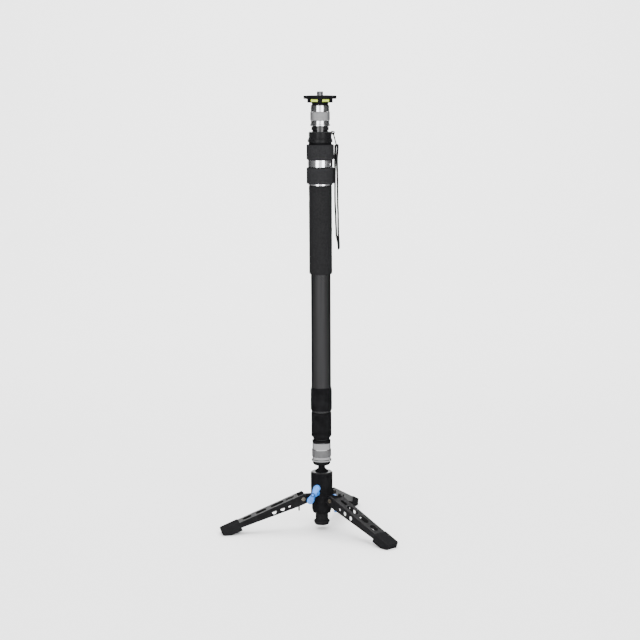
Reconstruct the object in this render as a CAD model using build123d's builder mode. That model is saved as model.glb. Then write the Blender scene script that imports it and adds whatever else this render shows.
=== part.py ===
from build123d import *
import os
from math import cos, radians, sin

# Camera monopod: a three-section twist-lock column on a folding three-leg foot.
# Millimetres. The column stands on Z, the soles of the legs rest on Z = 0,
# X points right and Y away in the usual view.

os.makedirs("parts", exist_ok=True)

# Fits shared by several pieces
running_gap = 0.1
loose_gap = 0.2
cut_over = 1.0

# Centre foot
foot_lift = 7.9
sole_r = 11.2
foot_edge_r = 13.2
foot_edge_h = 4.9
foot_flare_h = 4.3
foot_neck_r = 10.4
foot_neck_h = 11.1
foot_stem_r = 4.0
stem_in_foot = 12.0
stem_in_hub = 3.5
stem_flange_r = 7.5
stem_flange_h = 1.5

# Leg hub
hub_foot_r = 14.3
hub_r = 16.3
body_r = 17.9
hub_taper_h = 5.9
hub_wall_h = 11.4
hub_step_h = 3.1
hub_top_h = 9.9
hub_floor_h = 6.0
lug_w = 18.6
lug_root = 10.0

# Leg hinges
leg_azimuths = (71.8, 191.8, 311.8)
pin_out = 33.2
pin_drop = 4.2
pin_r = 2.0
pin_head_r = 3.3
pin_head_h = 1.5
stop_screw_r = 1.5
stop_head_r = 2.1
stop_head_h = 2.6
stop_drop = 11.9
stop_screw_len = 7.0

# Folding legs
leg_slope = 21.5
leg_len = 143.8
channel_short = 5.8
channel_w = 23.0
channel_wall = 2.0
web_rise = 7.2
web_root = 4.1
flange_root = 6.0
root_h = 16.0
tip_h = 9.0
root_run = 12.0
notch_run = 5.6
root_fillet = 3.0
web_slot_place_shares = (0.136, 0.293, 0.494, 0.670)
web_slot_length_shares = (0.104, 0.164, 0.135, 0.111)
web_slot_width_shares = (0.32, 0.52, 0.52, 0.52)
flange_hole_place_shares = (0.175, 0.262, 0.364)
flange_hole_radius_shares = (0.34, 0.50, 0.50)
boot_len = 32.3
boot_w = 25.6
boot_top = 1.0
boot_depth = 14.5
boot_corner_r = 4.0
boot_edge_r = 1.6

# Ball body
body_h = 37.1
body_bore_r = 14.0
ball_r = 12.5
ball_rise = 32.5
rim_h = 1.3
rim_r = 16.4
ring_r = 15.8
ring_depth = 1.9
body_groove_w = 0.8
body_groove_depth = 0.5
body_groove_rise = 4.6
lock_boss_r = 5.6
lock_boss_out = 0.8

# Ball cup on its panning spindle
spindle_r = 6.0
bush_wall = 1.5
lower_bush_h = 4.0
upper_bush_h = 11.0
bush_flange_r = 9.5
bush_flange_h = 1.0
spindle_end = 1.4
cup_top_drop = 2.6
lock_ring_h = 8.4
shoe_r = 2.4
shoe_len = 3.3
pan_screw_rise = 12.8

# Ball lock knob
ball_lock_azimuth = 245.5
ball_lock_rise = 5.9
ball_lock_lean = 28.0
ball_stud_r = 3.0
ball_boss_r = 5.0
ball_wing_in = 29.6
ball_wing_out = 34.5
ball_wing_half = 18.0
ball_wing_w = 11.0
ball_waist_w = 6.4
ball_boss_ring_r = 3.5
ball_boss_ring_h = 0.7

# Pan lock knob
pan_lock_azimuth = 11.8
pan_lock_lean = 20.0
pan_stud_r = 2.4
pan_boss_r = 4.2
pan_wing_in = 20.0
pan_wing_out = 25.0
pan_wing_half = 15.0
pan_wing_w = 9.4
pan_waist_w = 5.6
pan_boss_ring_r = 3.0
wing_edge_r = 0.9

# Tension screw in the side of the ball body
tension_azimuth = 302.0
tension_r = 2.3
tension_drop = 4.4
tension_proud = 0.5
tension_socket_r = 1.3
tension_socket_depth = 1.0

# Ball stem
stem_r = 5.9
stem_h = 16.8
underside_h = 1.8
underside_r = 12.2
underside_step_h = 0.8
stem_stud_r = 4.0
stem_stud_len = 13.0

# Quick-release couplings, one at each end of the column
flange_r = 14.25
spigot_flange_h = 4.0
spigot_r = 9.5
core_r = 13.0
core_foot_r = 13.9
core_foot_h = 1.4
lip_r = 16.15
collar_r = 14.8
knurl_r = 15.55
spring_pocket_r = 14.1
pocket_top = 8.5
detent_r = 2.5
detent_out = 10.5
detents = 4
detent_above_pocket = 4.8
relief_above_detent = 1.4
relief_h = 6.0
relief_r = 14.1
spigot_above_detent = 5.4
spring_wire_r = 0.32
spring_turns = 3
collar_edge = 0.7

# Lower coupling heights
lower_lip_h = 3.4
lower_plain_h = 4.3
lower_knurl_h = 12.6
lower_grip_h = 10.9
core_above_collar = 0.8
end_ring_h = 3.5
end_ring_r = 15.1

# Upper coupling heights
upper_lip_h = 3.2
upper_plain_h = 5.3
upper_knurl_h = 14.7
upper_grip_h = 10.2
shoulder_h = 4.8
shoulder_gap = 1.6
core_base_h = 2.7
core_base_r = 12.6
core_stud_r = 8.0
core_stud_len = 11.0
core_ring_r = 13.4
core_ring_h = 1.0

# Carbon tubes
lower_tube_r = 12.0
middle_tube_r = 14.0
outer_tube_r = 16.0
tube_wall = 1.3
plug_len = 25.0
outer_tube_len = 411.6
bush_len = 30.0
plug_gap = 0.05

# Middle collar at the foot of the middle tube
middle_collar_r = 16.5
middle_collar_h = 38.4
middle_lip_r = 13.4
middle_lip_h = 1.5
middle_cone_h = 4.3
ring_to_collar = 1.7
middle_band_h = 4.4
band_groove_w = 0.9
band_groove_depth = 0.45

# Outer collar at the foot of the outer tube
outer_collar_r = 17.4
outer_collar_h = 33.8
outer_ramp_h = 4.1
outer_collar_start = 3.0
collar_to_tube = 1.1

# Twist-lock cages, cams and drive
cage_h = 18.0
cage_plug_h = 14.0
cage_clearance = 2.2
spider_clearance = 2.8
cage_bore_r = 8.1
cam_r = 6.9
cam_lobe_r = 1.6
cam_h = 13.0
window_w = 10.0
window_h = 12.6
shoe_gap = 0.15
shoes = 3
drive_tube_af = 9.0
drive_rod_af = 6.0
drive_tube_low = 4.0
rod_low = 40.0
rod_above_spider = 5.0

# Twist collar, sleeve and head
lower_grip_low = 37.9
fixed_ring_h = 25.7
grip_collar_r = 22.05
band_r = 19.85
band_h = 10.8
band_low = 1.4
sleeve_r = 18.4
sleeve_h = 40.6
window_low = 15.6
window_up_h = 12.0
sleeve_window_angle = 90.0
twist_gap = 0.7
twist_h = 23.8
twist_chamfer = 2.0
spider_hub_r = 8.0
spider_h = 10.0
spider_arm_w = 6.2
spider_tip = 19.5
spiders = 3
cap_h = 16.6
cap_spigot_h = 8.0
cap_low_r = 20.04
cap_r = 18.4
cap_low_h = 3.9
cap_slope_h = 3.0
twist_angle = 60.0

# Foam grip
foam_h = 144.1
foam_r = 18.5
foam_edge_r = 2.2
grip_ring_h = 2.5
grip_ring_r = 19.2

# Plate, hub, levels and camera screw
neck_r = 13.2
neck_h = 3.1
plate_hub_r = 20.4
plate_hub_h = 7.8
plate_r = 26.7
plate_h = 3.0
plate_edge = 0.8
camera_screw_r = 4.76
camera_screw_h = 6.7
camera_shank_r = 5.4
screw_relief_r = 4.2
screw_relief_h = 0.6
camera_head_r = 8.0
camera_head_h = 3.4
vial_r = 2.7
vial_len = 12.4
vial_out = 16.6
vial_spread = 28.0
vial_drop = 3.9

# Strap and its ring
lug_w_strap = 3.0
lug_eye_out = 20.8
lug_eye_r = 2.9
lug_drop = 1.7
ring_wire_r = 1.0
eye_gap = 0.35
ring_top_half = 3.4
ring_half_w = 9.0
ring_drop = 21.0
ring_lean_out = 5.4
ring_corner_r = 2.0
strap_thick = 1.6
strap_w = 12.0
strap_drop = 163.5
strap_bend_r = 2.1
strap_end_r = 2.9
strap_end_out = 1.4

# Heights from the floor up
hub_z = foot_lift + foot_edge_h + foot_flare_h + foot_neck_h
hub_wall_z = hub_z + hub_taper_h
hub_step_z = hub_wall_z + hub_wall_h
hub_band_z = hub_step_z + hub_step_h
body_z = hub_band_z + hub_top_h
bore_z = hub_z + hub_floor_h
pin_z = body_z - pin_drop
ball_z = body_z + ball_rise
rim_z = body_z + body_h
stem_top_z = ball_z + stem_h
flange_z = stem_top_z + underside_step_h + underside_h
lower_collar_z = flange_z + spigot_flange_h + running_gap
lower_collar_h = lower_lip_h + lower_plain_h + lower_knurl_h + lower_grip_h
lower_tube_z = lower_collar_z + lower_collar_h + core_above_collar
middle_collar_z = lower_tube_z + end_ring_h + ring_to_collar
middle_tube_z = middle_collar_z + middle_lip_h + middle_cone_h - tube_wall
middle_collar_top = middle_collar_z + middle_lip_h + middle_cone_h + middle_collar_h
outer_tube_z = middle_collar_top + collar_to_tube
outer_collar_z = outer_tube_z + outer_collar_start
outer_tube_top = outer_tube_z + outer_tube_len
fixed_ring_z = outer_tube_top - lower_grip_low
foam_z = fixed_ring_z - grip_ring_h - foam_h
sleeve_z = fixed_ring_z + fixed_ring_h
band_z = sleeve_z + band_low
twist_z = band_z + band_h + twist_gap
window_z = sleeve_z + window_low
sleeve_top = sleeve_z + sleeve_h
spider_z = window_z + (window_up_h - spider_h) / 2
middle_tube_top = spider_z - spider_clearance - cage_h
lower_tube_top = middle_tube_top - cage_plug_h - cage_clearance - cage_h
cap_z = sleeve_top
cap_top = cap_z + cap_h
shoulder_z = cap_top + core_base_h
upper_collar_z = shoulder_z + shoulder_h + shoulder_gap
upper_collar_h = upper_lip_h + upper_plain_h + upper_knurl_h + upper_grip_h
neck_z = upper_collar_z + upper_collar_h + core_above_collar
plate_hub_z = neck_z + neck_h
plate_z = plate_hub_z + plate_hub_h
eye_z = cap_top - lug_drop

# Lengths that follow from others
channel_len = leg_len - channel_short
boot_start = leg_len - boot_len
lower_tube_len = lower_tube_top - lower_tube_z
middle_tube_len = middle_tube_top - middle_tube_z
lower_tube_bore = lower_tube_r - tube_wall
middle_tube_bore = middle_tube_r - tube_wall
outer_tube_bore = outer_tube_r - tube_wall
bush_bore = spindle_r + running_gap
hub_bore_r = spindle_r + bush_wall


def upright(azimuth):
    """Plane through the column with x pointing out at the azimuth and y up."""
    turn = radians(azimuth)
    return Plane(origin=(0, 0, 0), x_dir=(cos(turn), sin(turn), 0), z_dir=(sin(turn), -cos(turn), 0))


def facing(azimuth, out, height):
    """Plane that faces outwards at the azimuth, with its origin out from the column."""
    turn = radians(azimuth)
    place = (out * cos(turn), out * sin(turn), height)
    return Plane(origin=place, x_dir=(-sin(turn), cos(turn), 0), z_dir=(cos(turn), sin(turn), 0))


def leg_side(azimuth):
    """Side plane of a leg: origin on its pin, x along the leg and y square to its web."""
    turn, fall = radians(azimuth), radians(leg_slope)
    place = (pin_out * cos(turn), pin_out * sin(turn), pin_z)
    along = (cos(turn) * cos(fall), sin(turn) * cos(fall), -sin(fall))
    return Plane(origin=place, x_dir=along, z_dir=(sin(turn), -cos(turn), 0))


# Rubber centre foot
with BuildPart() as foot_pad:
    with BuildSketch(Plane.XZ):
        with BuildLine():
            edge_z = foot_lift + foot_edge_h
            neck_low = edge_z + foot_flare_h
            Polyline((0, hub_z), (0, foot_lift), (sole_r, foot_lift), (foot_edge_r, edge_z))
            Spline((foot_edge_r, edge_z), (foot_neck_r, neck_low), tangents=((0, 1), (0, 1)))
            Polyline((foot_neck_r, neck_low), (foot_neck_r, hub_z), (0, hub_z))
        make_face()
    revolve(axis=Axis.Z)
    with Locations((0, 0, hub_z)):
        hang = (Align.CENTER, Align.CENTER, Align.MAX)
        Cylinder(stem_flange_r, stem_flange_h, align=hang, mode=Mode.SUBTRACT)
        Cylinder(foot_stem_r, stem_in_foot, align=hang, mode=Mode.SUBTRACT)
foot_pad.part.label = "foot_pad"
export_step(foot_pad.part, "parts/foot_pad.step")

# Steel stem that holds the centre foot in the hub
with BuildPart() as foot_stem:
    with BuildSketch(Plane.XY.offset(hub_z - stem_in_foot)):
        Circle(foot_stem_r)
    extrude(amount=stem_in_foot + stem_in_hub)
    with BuildSketch(Plane.XY.offset(hub_z - stem_flange_h)):
        Circle(stem_flange_r)
    extrude(amount=stem_flange_h)
foot_stem.part.label = "foot_stem"
export_step(foot_stem.part, "parts/foot_stem.step")

# Leg hub with its three hinge lugs
pan_screw_z = hub_z + pan_screw_rise
with BuildPart() as leg_hub:
    with BuildSketch(Plane.XZ):
        with BuildLine():
            Polyline(
                (0, hub_z),
                (hub_foot_r, hub_z),
                (hub_r, hub_wall_z),
                (hub_r, hub_step_z),
                (body_r, hub_band_z),
                (body_r, body_z),
                (0, body_z),
                close=True,
            )
        make_face()
    revolve(axis=Axis.Z)
    for azimuth in leg_azimuths:
        with BuildSketch(upright(azimuth)):
            with BuildLine():
                Line((pin_out, body_z), (lug_root, body_z))
                Line((lug_root, body_z), (lug_root, hub_band_z))
                Polyline((lug_root, hub_band_z), (body_r, hub_band_z), (pin_out, pin_z - pin_drop))
                ThreePointArc((pin_out, pin_z - pin_drop), (pin_out + pin_drop, pin_z), (pin_out, body_z))
            make_face()
            with Locations((pin_out, pin_z)):
                Circle(pin_r + running_gap / 2, mode=Mode.SUBTRACT)
        extrude(amount=lug_w / 2, both=True)
    with BuildSketch(Plane.XY.offset(bore_z)):
        Circle(hub_bore_r)
    extrude(amount=body_z - bore_z, mode=Mode.SUBTRACT)
    with BuildSketch(Plane.XY.offset(body_z)):
        Circle(bush_flange_r + running_gap)
    extrude(amount=-bush_flange_h, mode=Mode.SUBTRACT)
    with BuildSketch(Plane.XY.offset(hub_z)):
        Circle(foot_stem_r + plug_gap)
    extrude(amount=stem_in_hub, mode=Mode.SUBTRACT)
    with BuildSketch(facing(pan_lock_azimuth, 0, pan_screw_z)):
        Circle(pan_stud_r + running_gap)
    extrude(amount=hub_r + cut_over, mode=Mode.SUBTRACT)
    for azimuth in leg_azimuths:
        with BuildSketch(facing(azimuth, hub_r + stop_head_h, body_z - stop_drop)):
            Circle(stop_head_r + running_gap)
        extrude(amount=-stop_head_h, mode=Mode.SUBTRACT)
        with BuildSketch(facing(azimuth, hub_r, body_z - stop_drop)):
            Circle(stop_screw_r + plug_gap)
        extrude(amount=-stop_screw_len, mode=Mode.SUBTRACT)
leg_hub.part.label = "leg_hub"
export_step(leg_hub.part, "parts/leg_hub.step")

# Brass stop screws under the lugs
with BuildPart() as leg_stop_screws:
    for azimuth in leg_azimuths:
        with BuildSketch(facing(azimuth, hub_r, body_z - stop_drop)):
            Circle(stop_screw_r)
        extrude(amount=-stop_screw_len)
        with BuildSketch(facing(azimuth, hub_r, body_z - stop_drop)):
            Circle(stop_head_r)
        extrude(amount=stop_head_h)
        with BuildSketch(facing(azimuth, hub_r + stop_head_h, body_z - stop_drop)):
            RegularPolygon(stop_head_r / 2, 6)
        extrude(amount=-stop_head_h / 2, mode=Mode.SUBTRACT)
leg_stop_screws.part.label = "leg_stop_screws"
export_step(leg_stop_screws.part, "parts/leg_stop_screws.step")

# Hinge pins with a round head on both flanges of each leg
with BuildPart() as hinge_pins:
    for azimuth in leg_azimuths:
        side = leg_side(azimuth)
        head_face = channel_w / 2 + running_gap
        with BuildSketch(side):
            Circle(pin_r)
        extrude(amount=head_face + pin_head_h / 2, both=True)
        for way in (1, -1):
            with BuildSketch(side.offset(way * head_face)):
                Circle(pin_head_r)
            extrude(amount=way * pin_head_h)
            with BuildSketch(side.offset(way * (head_face + pin_head_h))):
                RegularPolygon(pin_head_r / 2, 6)
            extrude(amount=-way * pin_head_h / 2, mode=Mode.SUBTRACT)
hinge_pins.part.label = "hinge_pins"
export_step(hinge_pins.part, "parts/hinge_pins.step")

# Folding legs: channel-section arms with rubber boots
web_under = web_rise - channel_wall
inner_w = channel_w - 2 * channel_wall
flange_tip = web_rise - tip_h
flange_low = web_rise - root_h
for count, azimuth in enumerate(leg_azimuths, start=1):
    side = leg_side(azimuth)
    web = Plane(origin=side.from_local_coords((0, web_rise, 0)), x_dir=side.x_dir, z_dir=side.y_dir)
    with BuildPart() as leg_channel:
        with BuildSketch(side) as channel_side:
            with BuildLine():
                Polyline(
                    (-web_root, web_rise),
                    (channel_len, web_rise),
                    (channel_len, flange_tip),
                    (boot_start, flange_tip),
                    (root_run, flange_low),
                    (-web_root, flange_low),
                    (-flange_root, flange_low + root_fillet),
                    (-flange_root, web_rise - root_fillet),
                    close=True,
                )
            make_face()
        extrude(amount=channel_w / 2, both=True)
        with BuildSketch(side):
            with BuildLine():
                Polyline(
                    (-flange_root - cut_over, flange_low - cut_over),
                    (channel_len + cut_over, flange_low - cut_over),
                    (channel_len + cut_over, web_under),
                    (notch_run, web_under),
                    (notch_run, web_rise + cut_over),
                    (-flange_root - cut_over, web_rise + cut_over),
                    close=True,
                )
            make_face()
        extrude(amount=inner_w / 2, both=True, mode=Mode.SUBTRACT)
        with BuildSketch(web):
            web_slots = zip(web_slot_place_shares, web_slot_length_shares, web_slot_width_shares)
            for place, length, width in web_slots:
                with Locations((place * leg_len, 0)):
                    SlotOverall(length * leg_len, width * inner_w)
        extrude(amount=-channel_wall, mode=Mode.SUBTRACT)
        with BuildSketch(side):
            Circle(pin_r + running_gap)
            for place, share in zip(flange_hole_place_shares, flange_hole_radius_shares):
                run = place * leg_len
                low = flange_low + (run - root_run) / (boot_start - root_run) * (flange_tip - flange_low)
                with Locations((run, (low + web_under) / 2)):
                    Circle(share * web_rise)
        extrude(amount=channel_w, both=True, mode=Mode.SUBTRACT)
    leg_channel.part.label = f"leg_channel_{count}"
    export_step(leg_channel.part, f"parts/leg_channel_{count}.step")

    boot_low = web_rise + boot_top - boot_depth
    with BuildPart() as foot_boot:
        with BuildSketch(side):
            with BuildLine():
                Polyline(
                    (boot_start, web_rise + boot_top),
                    (leg_len, web_rise + boot_top),
                    (leg_len, boot_low),
                    (boot_start, boot_low),
                    close=True,
                )
            make_face()
        extrude(amount=boot_w / 2, both=True)
        along, square = Axis(side.origin, side.x_dir), Axis(side.origin, side.y_dir)
        fillet(foot_boot.edges().filter_by(square).sort_by(along)[-2:], boot_corner_r)
        fillet(foot_boot.edges().filter_by(along).sort_by(square)[-2:], boot_edge_r)
        with BuildSketch(side):
            with BuildLine():
                Polyline(
                    (boot_start - cut_over, web_rise),
                    (channel_len, web_rise),
                    (channel_len, flange_tip),
                    (boot_start - cut_over, flange_tip),
                    close=True,
                )
            make_face()
        extrude(amount=channel_w / 2, both=True, mode=Mode.SUBTRACT)
        split(bisect_by=Plane.XY, keep=Keep.TOP)
    foot_boot.part.label = f"foot_boot_{count}"
    export_step(foot_boot.part, f"parts/foot_boot_{count}.step")

# Housing of the ball
boss_plane = facing(ball_lock_azimuth, 0, body_z + ball_lock_rise)
tension_z = rim_z - tension_drop
with BuildPart() as ball_body:
    with BuildSketch(Plane.XY.offset(body_z)):
        Circle(body_r)
    extrude(amount=body_h)
    with BuildSketch(Plane.XY.offset(body_z + body_groove_rise)):
        Circle(body_r + cut_over)
        Circle(body_r - body_groove_depth, mode=Mode.SUBTRACT)
    extrude(amount=-body_groove_w, mode=Mode.SUBTRACT)
    with BuildSketch(boss_plane):
        Circle(lock_boss_r)
    extrude(amount=body_r + lock_boss_out)
    with BuildSketch(Plane.XY.offset(body_z)):
        Circle(body_bore_r)
    extrude(amount=body_h + cut_over, mode=Mode.SUBTRACT)
    with BuildSketch(Plane.XY.offset(rim_z)):
        Circle(ring_r + plug_gap)
    extrude(amount=-ring_depth, mode=Mode.SUBTRACT)
    with BuildSketch(boss_plane):
        Circle(ball_stud_r + running_gap)
    extrude(amount=body_r + lock_boss_out + cut_over, mode=Mode.SUBTRACT)
    with BuildSketch(facing(tension_azimuth, 0, tension_z)):
        Circle(tension_r + plug_gap)
    extrude(amount=body_r + cut_over, mode=Mode.SUBTRACT)
ball_body.part.label = "ball_body"
export_step(ball_body.part, "parts/ball_body.step")

# Bevelled ring that keeps the ball in its housing
ball_seat_r = ball_r + running_gap
with BuildPart() as ball_retaining_ring:
    with BuildSketch(Plane.XZ):
        with BuildLine():
            Polyline(
                (0, rim_z - ring_depth),
                (ring_r, rim_z - ring_depth),
                (ring_r, rim_z),
                (body_r, rim_z),
                (rim_r, rim_z + rim_h),
                (0, rim_z + rim_h),
                close=True,
            )
        make_face()
    revolve(axis=Axis.Z)
    with Locations((0, 0, ball_z)):
        Sphere(ball_seat_r, mode=Mode.SUBTRACT)
ball_retaining_ring.part.label = "ball_retaining_ring"
export_step(ball_retaining_ring.part, "parts/ball_retaining_ring.step")

# Screw that sets the drag of the ball
with BuildPart() as ball_tension_screw:
    with BuildSketch(facing(tension_azimuth, body_bore_r, tension_z)):
        Circle(tension_r)
    extrude(amount=body_r - body_bore_r + tension_proud)
    with BuildSketch(facing(tension_azimuth, body_r + tension_proud, tension_z)):
        RegularPolygon(tension_socket_r, 6)
    extrude(amount=-tension_socket_depth, mode=Mode.SUBTRACT)
ball_tension_screw.part.label = "ball_tension_screw"
export_step(ball_tension_screw.part, "parts/ball_tension_screw.step")

# Cup under the ball, in one piece with the spindle that pans in the hub
cup_r = body_bore_r - running_gap
cup_z = body_z + running_gap + lock_ring_h + running_gap
cup_top = ball_z - cup_top_drop
with BuildPart() as ball_cup:
    with BuildSketch(Plane.XZ):
        with BuildLine():
            Polyline(
                (0, bore_z + spindle_end),
                (spindle_r, bore_z + spindle_end),
                (spindle_r, cup_z),
                (cup_r, cup_z),
                (cup_r, cup_top),
                (0, cup_top),
                close=True,
            )
        make_face()
    revolve(axis=Axis.Z)
    with Locations((0, 0, ball_z)):
        Sphere(ball_seat_r, mode=Mode.SUBTRACT)
ball_cup.part.label = "ball_cup"
export_step(ball_cup.part, "parts/ball_cup.step")

# Ring that the ball lock screw wedges under the cup
with BuildPart() as ball_lock_ring:
    with BuildSketch(Plane.XY.offset(body_z)):
        Circle(cup_r - running_gap)
        Circle(spindle_r + running_gap, mode=Mode.SUBTRACT)
    extrude(amount=lock_ring_h)
ball_lock_ring.part.label = "ball_lock_ring"
export_step(ball_lock_ring.part, "parts/ball_lock_ring.step")

# Bronze bushes of the panning spindle
with BuildPart() as spindle_bushes:
    with BuildSketch(Plane.XY.offset(bore_z)):
        Circle(hub_bore_r)
        Circle(bush_bore, mode=Mode.SUBTRACT)
    extrude(amount=lower_bush_h)
    with BuildSketch(Plane.XY.offset(body_z - upper_bush_h)):
        Circle(hub_bore_r)
        Circle(bush_bore, mode=Mode.SUBTRACT)
    extrude(amount=upper_bush_h)
    with BuildSketch(Plane.XY.offset(body_z - bush_flange_h)):
        Circle(bush_flange_r)
        Circle(bush_bore, mode=Mode.SUBTRACT)
    extrude(amount=bush_flange_h)
spindle_bushes.part.label = "spindle_bushes"
export_step(spindle_bushes.part, "parts/spindle_bushes.step")

# Shoe that the pan lock screw presses on the spindle
with BuildPart() as pan_brake_shoe:
    with BuildSketch(facing(pan_lock_azimuth, 0, pan_screw_z)):
        Circle(shoe_r)
    extrude(amount=spindle_r + shoe_len)
    with BuildSketch(Plane.XY.offset(pan_screw_z - shoe_r - cut_over)):
        Circle(bush_bore)
    extrude(amount=2 * (shoe_r + cut_over), mode=Mode.SUBTRACT)
pan_brake_shoe.part.label = "pan_brake_shoe"
export_step(pan_brake_shoe.part, "parts/pan_brake_shoe.step")


def wing(half, width, waist):
    """Sketch of a wing screw's plate, waisted in the middle, with its long side on y."""
    lobe = half - width / 2
    with BuildSketch() as outline:
        with BuildLine():
            Spline((waist / 2, 0), (width / 2, lobe), tangents=((0, 1), (0, 1)))
            ThreePointArc((width / 2, lobe), (0, half), (-width / 2, lobe))
            Spline((-width / 2, lobe), (-waist / 2, 0), tangents=((0, -1), (0, -1)))
            Spline((-waist / 2, 0), (-width / 2, -lobe), tangents=((0, -1), (0, -1)))
            ThreePointArc((-width / 2, -lobe), (0, -half), (width / 2, -lobe))
            Spline((width / 2, -lobe), (waist / 2, 0), tangents=((0, 1), (0, 1)))
        make_face()
    return outline.sketch


# Wing screw that locks the ball
ball_lock_z = body_z + ball_lock_rise
with BuildPart() as ball_lock_knob:
    with BuildSketch(facing(ball_lock_azimuth, ball_wing_in, ball_lock_z)):
        add(wing(ball_wing_half, ball_wing_w, ball_waist_w), rotation=-ball_lock_lean)
    extrude(amount=ball_wing_out - ball_wing_in)
    fillet(ball_lock_knob.edges().filter_by(GeomType.BSPLINE), wing_edge_r)
    with BuildSketch(facing(ball_lock_azimuth, body_r + lock_boss_out + loose_gap, ball_lock_z)):
        Circle(ball_boss_r)
    extrude(amount=ball_wing_in - body_r - lock_boss_out - loose_gap)
    with BuildSketch(facing(ball_lock_azimuth, body_bore_r + running_gap, ball_lock_z)):
        Circle(ball_stud_r)
    extrude(amount=ball_wing_in - body_bore_r)
    with BuildSketch(facing(ball_lock_azimuth, ball_wing_out, ball_lock_z)):
        Circle(ball_boss_ring_r)
    extrude(amount=ball_boss_ring_h)
ball_lock_knob.part.label = "ball_lock_knob"
export_step(ball_lock_knob.part, "parts/ball_lock_knob.step")

# Wing screw that locks the pan
with BuildPart() as pan_lock_knob:
    with BuildSketch(facing(pan_lock_azimuth, pan_wing_in, pan_screw_z)):
        add(wing(pan_wing_half, pan_wing_w, pan_waist_w), rotation=-pan_lock_lean)
    extrude(amount=pan_wing_out - pan_wing_in)
    fillet(pan_lock_knob.edges().filter_by(GeomType.BSPLINE), wing_edge_r)
    with BuildSketch(facing(pan_lock_azimuth, hub_r + loose_gap, pan_screw_z)):
        Circle(pan_boss_r)
    extrude(amount=pan_wing_in - hub_r - loose_gap)
    with BuildSketch(facing(pan_lock_azimuth, spindle_r + shoe_len + running_gap, pan_screw_z)):
        Circle(pan_stud_r)
    extrude(amount=pan_wing_in - spindle_r - shoe_len)
    with BuildSketch(facing(pan_lock_azimuth, pan_wing_out, pan_screw_z)):
        Circle(pan_boss_ring_r)
    extrude(amount=ball_boss_ring_h)
pan_lock_knob.part.label = "pan_lock_knob"
export_step(pan_lock_knob.part, "parts/pan_lock_knob.step")

# Ball with its stem and the dished underside of the coupling
with BuildPart() as ball_stem:
    with Locations((0, 0, ball_z)):
        Sphere(ball_r)
    with BuildSketch(Plane.XZ):
        with BuildLine():
            Polyline(
                (0, ball_z),
                (stem_r, ball_z),
                (stem_r, stem_top_z),
                (underside_r, stem_top_z + underside_step_h),
                (flange_r - loose_gap, flange_z),
                (0, flange_z),
                close=True,
            )
        make_face()
    revolve(axis=Axis.Z)
    with BuildSketch(Plane.XY.offset(flange_z)):
        Circle(stem_stud_r + plug_gap)
    extrude(amount=-stem_stud_len, mode=Mode.SUBTRACT)
ball_stem.part.label = "ball_stem"
export_step(ball_stem.part, "parts/ball_stem.step")

# Heights inside the two couplings
lower_detent_z = lower_collar_z + pocket_top + detent_above_pocket
upper_detent_z = upper_collar_z + pocket_top + detent_above_pocket
spigot_top = lower_detent_z + spigot_above_detent
detent_hole_r = detent_r + plug_gap
detent_groove_r = detent_r + running_gap
core_bore_r = spigot_r + running_gap
collar_bore_r = core_r + running_gap

# Silver flange and spigot that the column plugs on to
with BuildPart() as stem_spigot:
    with BuildSketch(Plane.XY.offset(flange_z - stem_stud_len)):
        Circle(stem_stud_r)
    extrude(amount=stem_stud_len)
    with BuildSketch(Plane.XY.offset(flange_z)):
        Circle(flange_r)
    extrude(amount=spigot_flange_h)
    chamfer(stem_spigot.edges().filter_by(GeomType.CIRCLE).sort_by(SortBy.RADIUS)[-2:], collar_edge / 2)
    with BuildSketch(Plane.XY.offset(flange_z + spigot_flange_h)):
        Circle(spigot_r)
    extrude(amount=spigot_top - flange_z - spigot_flange_h)
    with BuildSketch(Plane.XZ):
        with Locations((detent_out, lower_detent_z)):
            Circle(detent_groove_r)
    revolve(axis=Axis.Z, mode=Mode.SUBTRACT)
stem_spigot.part.label = "stem_spigot"
export_step(stem_spigot.part, "parts/stem_spigot.step")

# Core of the lower coupling, glued into the lower tube
with BuildPart() as lower_coupling_core:
    with BuildSketch(Plane.XY.offset(lower_collar_z)):
        Circle(core_r)
    extrude(amount=lower_tube_z - lower_collar_z)
    with BuildSketch(Plane.XY.offset(lower_collar_z)):
        Circle(core_foot_r)
    extrude(amount=core_foot_h)
    with BuildSketch(Plane.XY.offset(lower_tube_z)):
        Circle(lower_tube_bore - plug_gap)
    extrude(amount=plug_len)
    with BuildSketch(Plane.XY.offset(lower_collar_z)):
        Circle(core_bore_r)
    extrude(amount=spigot_top + loose_gap - lower_collar_z, mode=Mode.SUBTRACT)
    for number in range(detents):
        with BuildSketch(facing(number * 360 / detents, 0, lower_detent_z)):
            Circle(detent_hole_r)
        extrude(amount=core_r + cut_over, mode=Mode.SUBTRACT)
lower_coupling_core.part.label = "lower_coupling_core"
export_step(lower_coupling_core.part, "parts/lower_coupling_core.step")

# Core of the upper coupling, screwed into the head cap
with BuildPart() as upper_coupling_core:
    with BuildSketch(Plane.XY.offset(cap_top - core_stud_len)):
        Circle(core_stud_r)
    extrude(amount=core_stud_len)
    with BuildSketch(Plane.XY.offset(cap_top)):
        Circle(core_base_r)
    extrude(amount=core_base_h)
    with BuildSketch(Plane.XY.offset(cap_top + core_ring_h / 2)):
        Circle(core_ring_r)
    extrude(amount=core_ring_h)
    with BuildSketch(Plane.XY.offset(shoulder_z)):
        Circle(flange_r)
    extrude(amount=shoulder_h)
    with BuildSketch(Plane.XY.offset(shoulder_z)):
        Circle(core_r)
    extrude(amount=neck_z - running_gap - shoulder_z)
    with BuildSketch(Plane.XY.offset(upper_detent_z - spigot_above_detent - loose_gap)):
        Circle(core_bore_r)
    extrude(amount=neck_z - upper_detent_z + spigot_above_detent + loose_gap, mode=Mode.SUBTRACT)
    for number in range(detents):
        with BuildSketch(facing(number * 360 / detents, 0, upper_detent_z)):
            Circle(detent_hole_r)
        extrude(amount=core_r + cut_over, mode=Mode.SUBTRACT)
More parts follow.
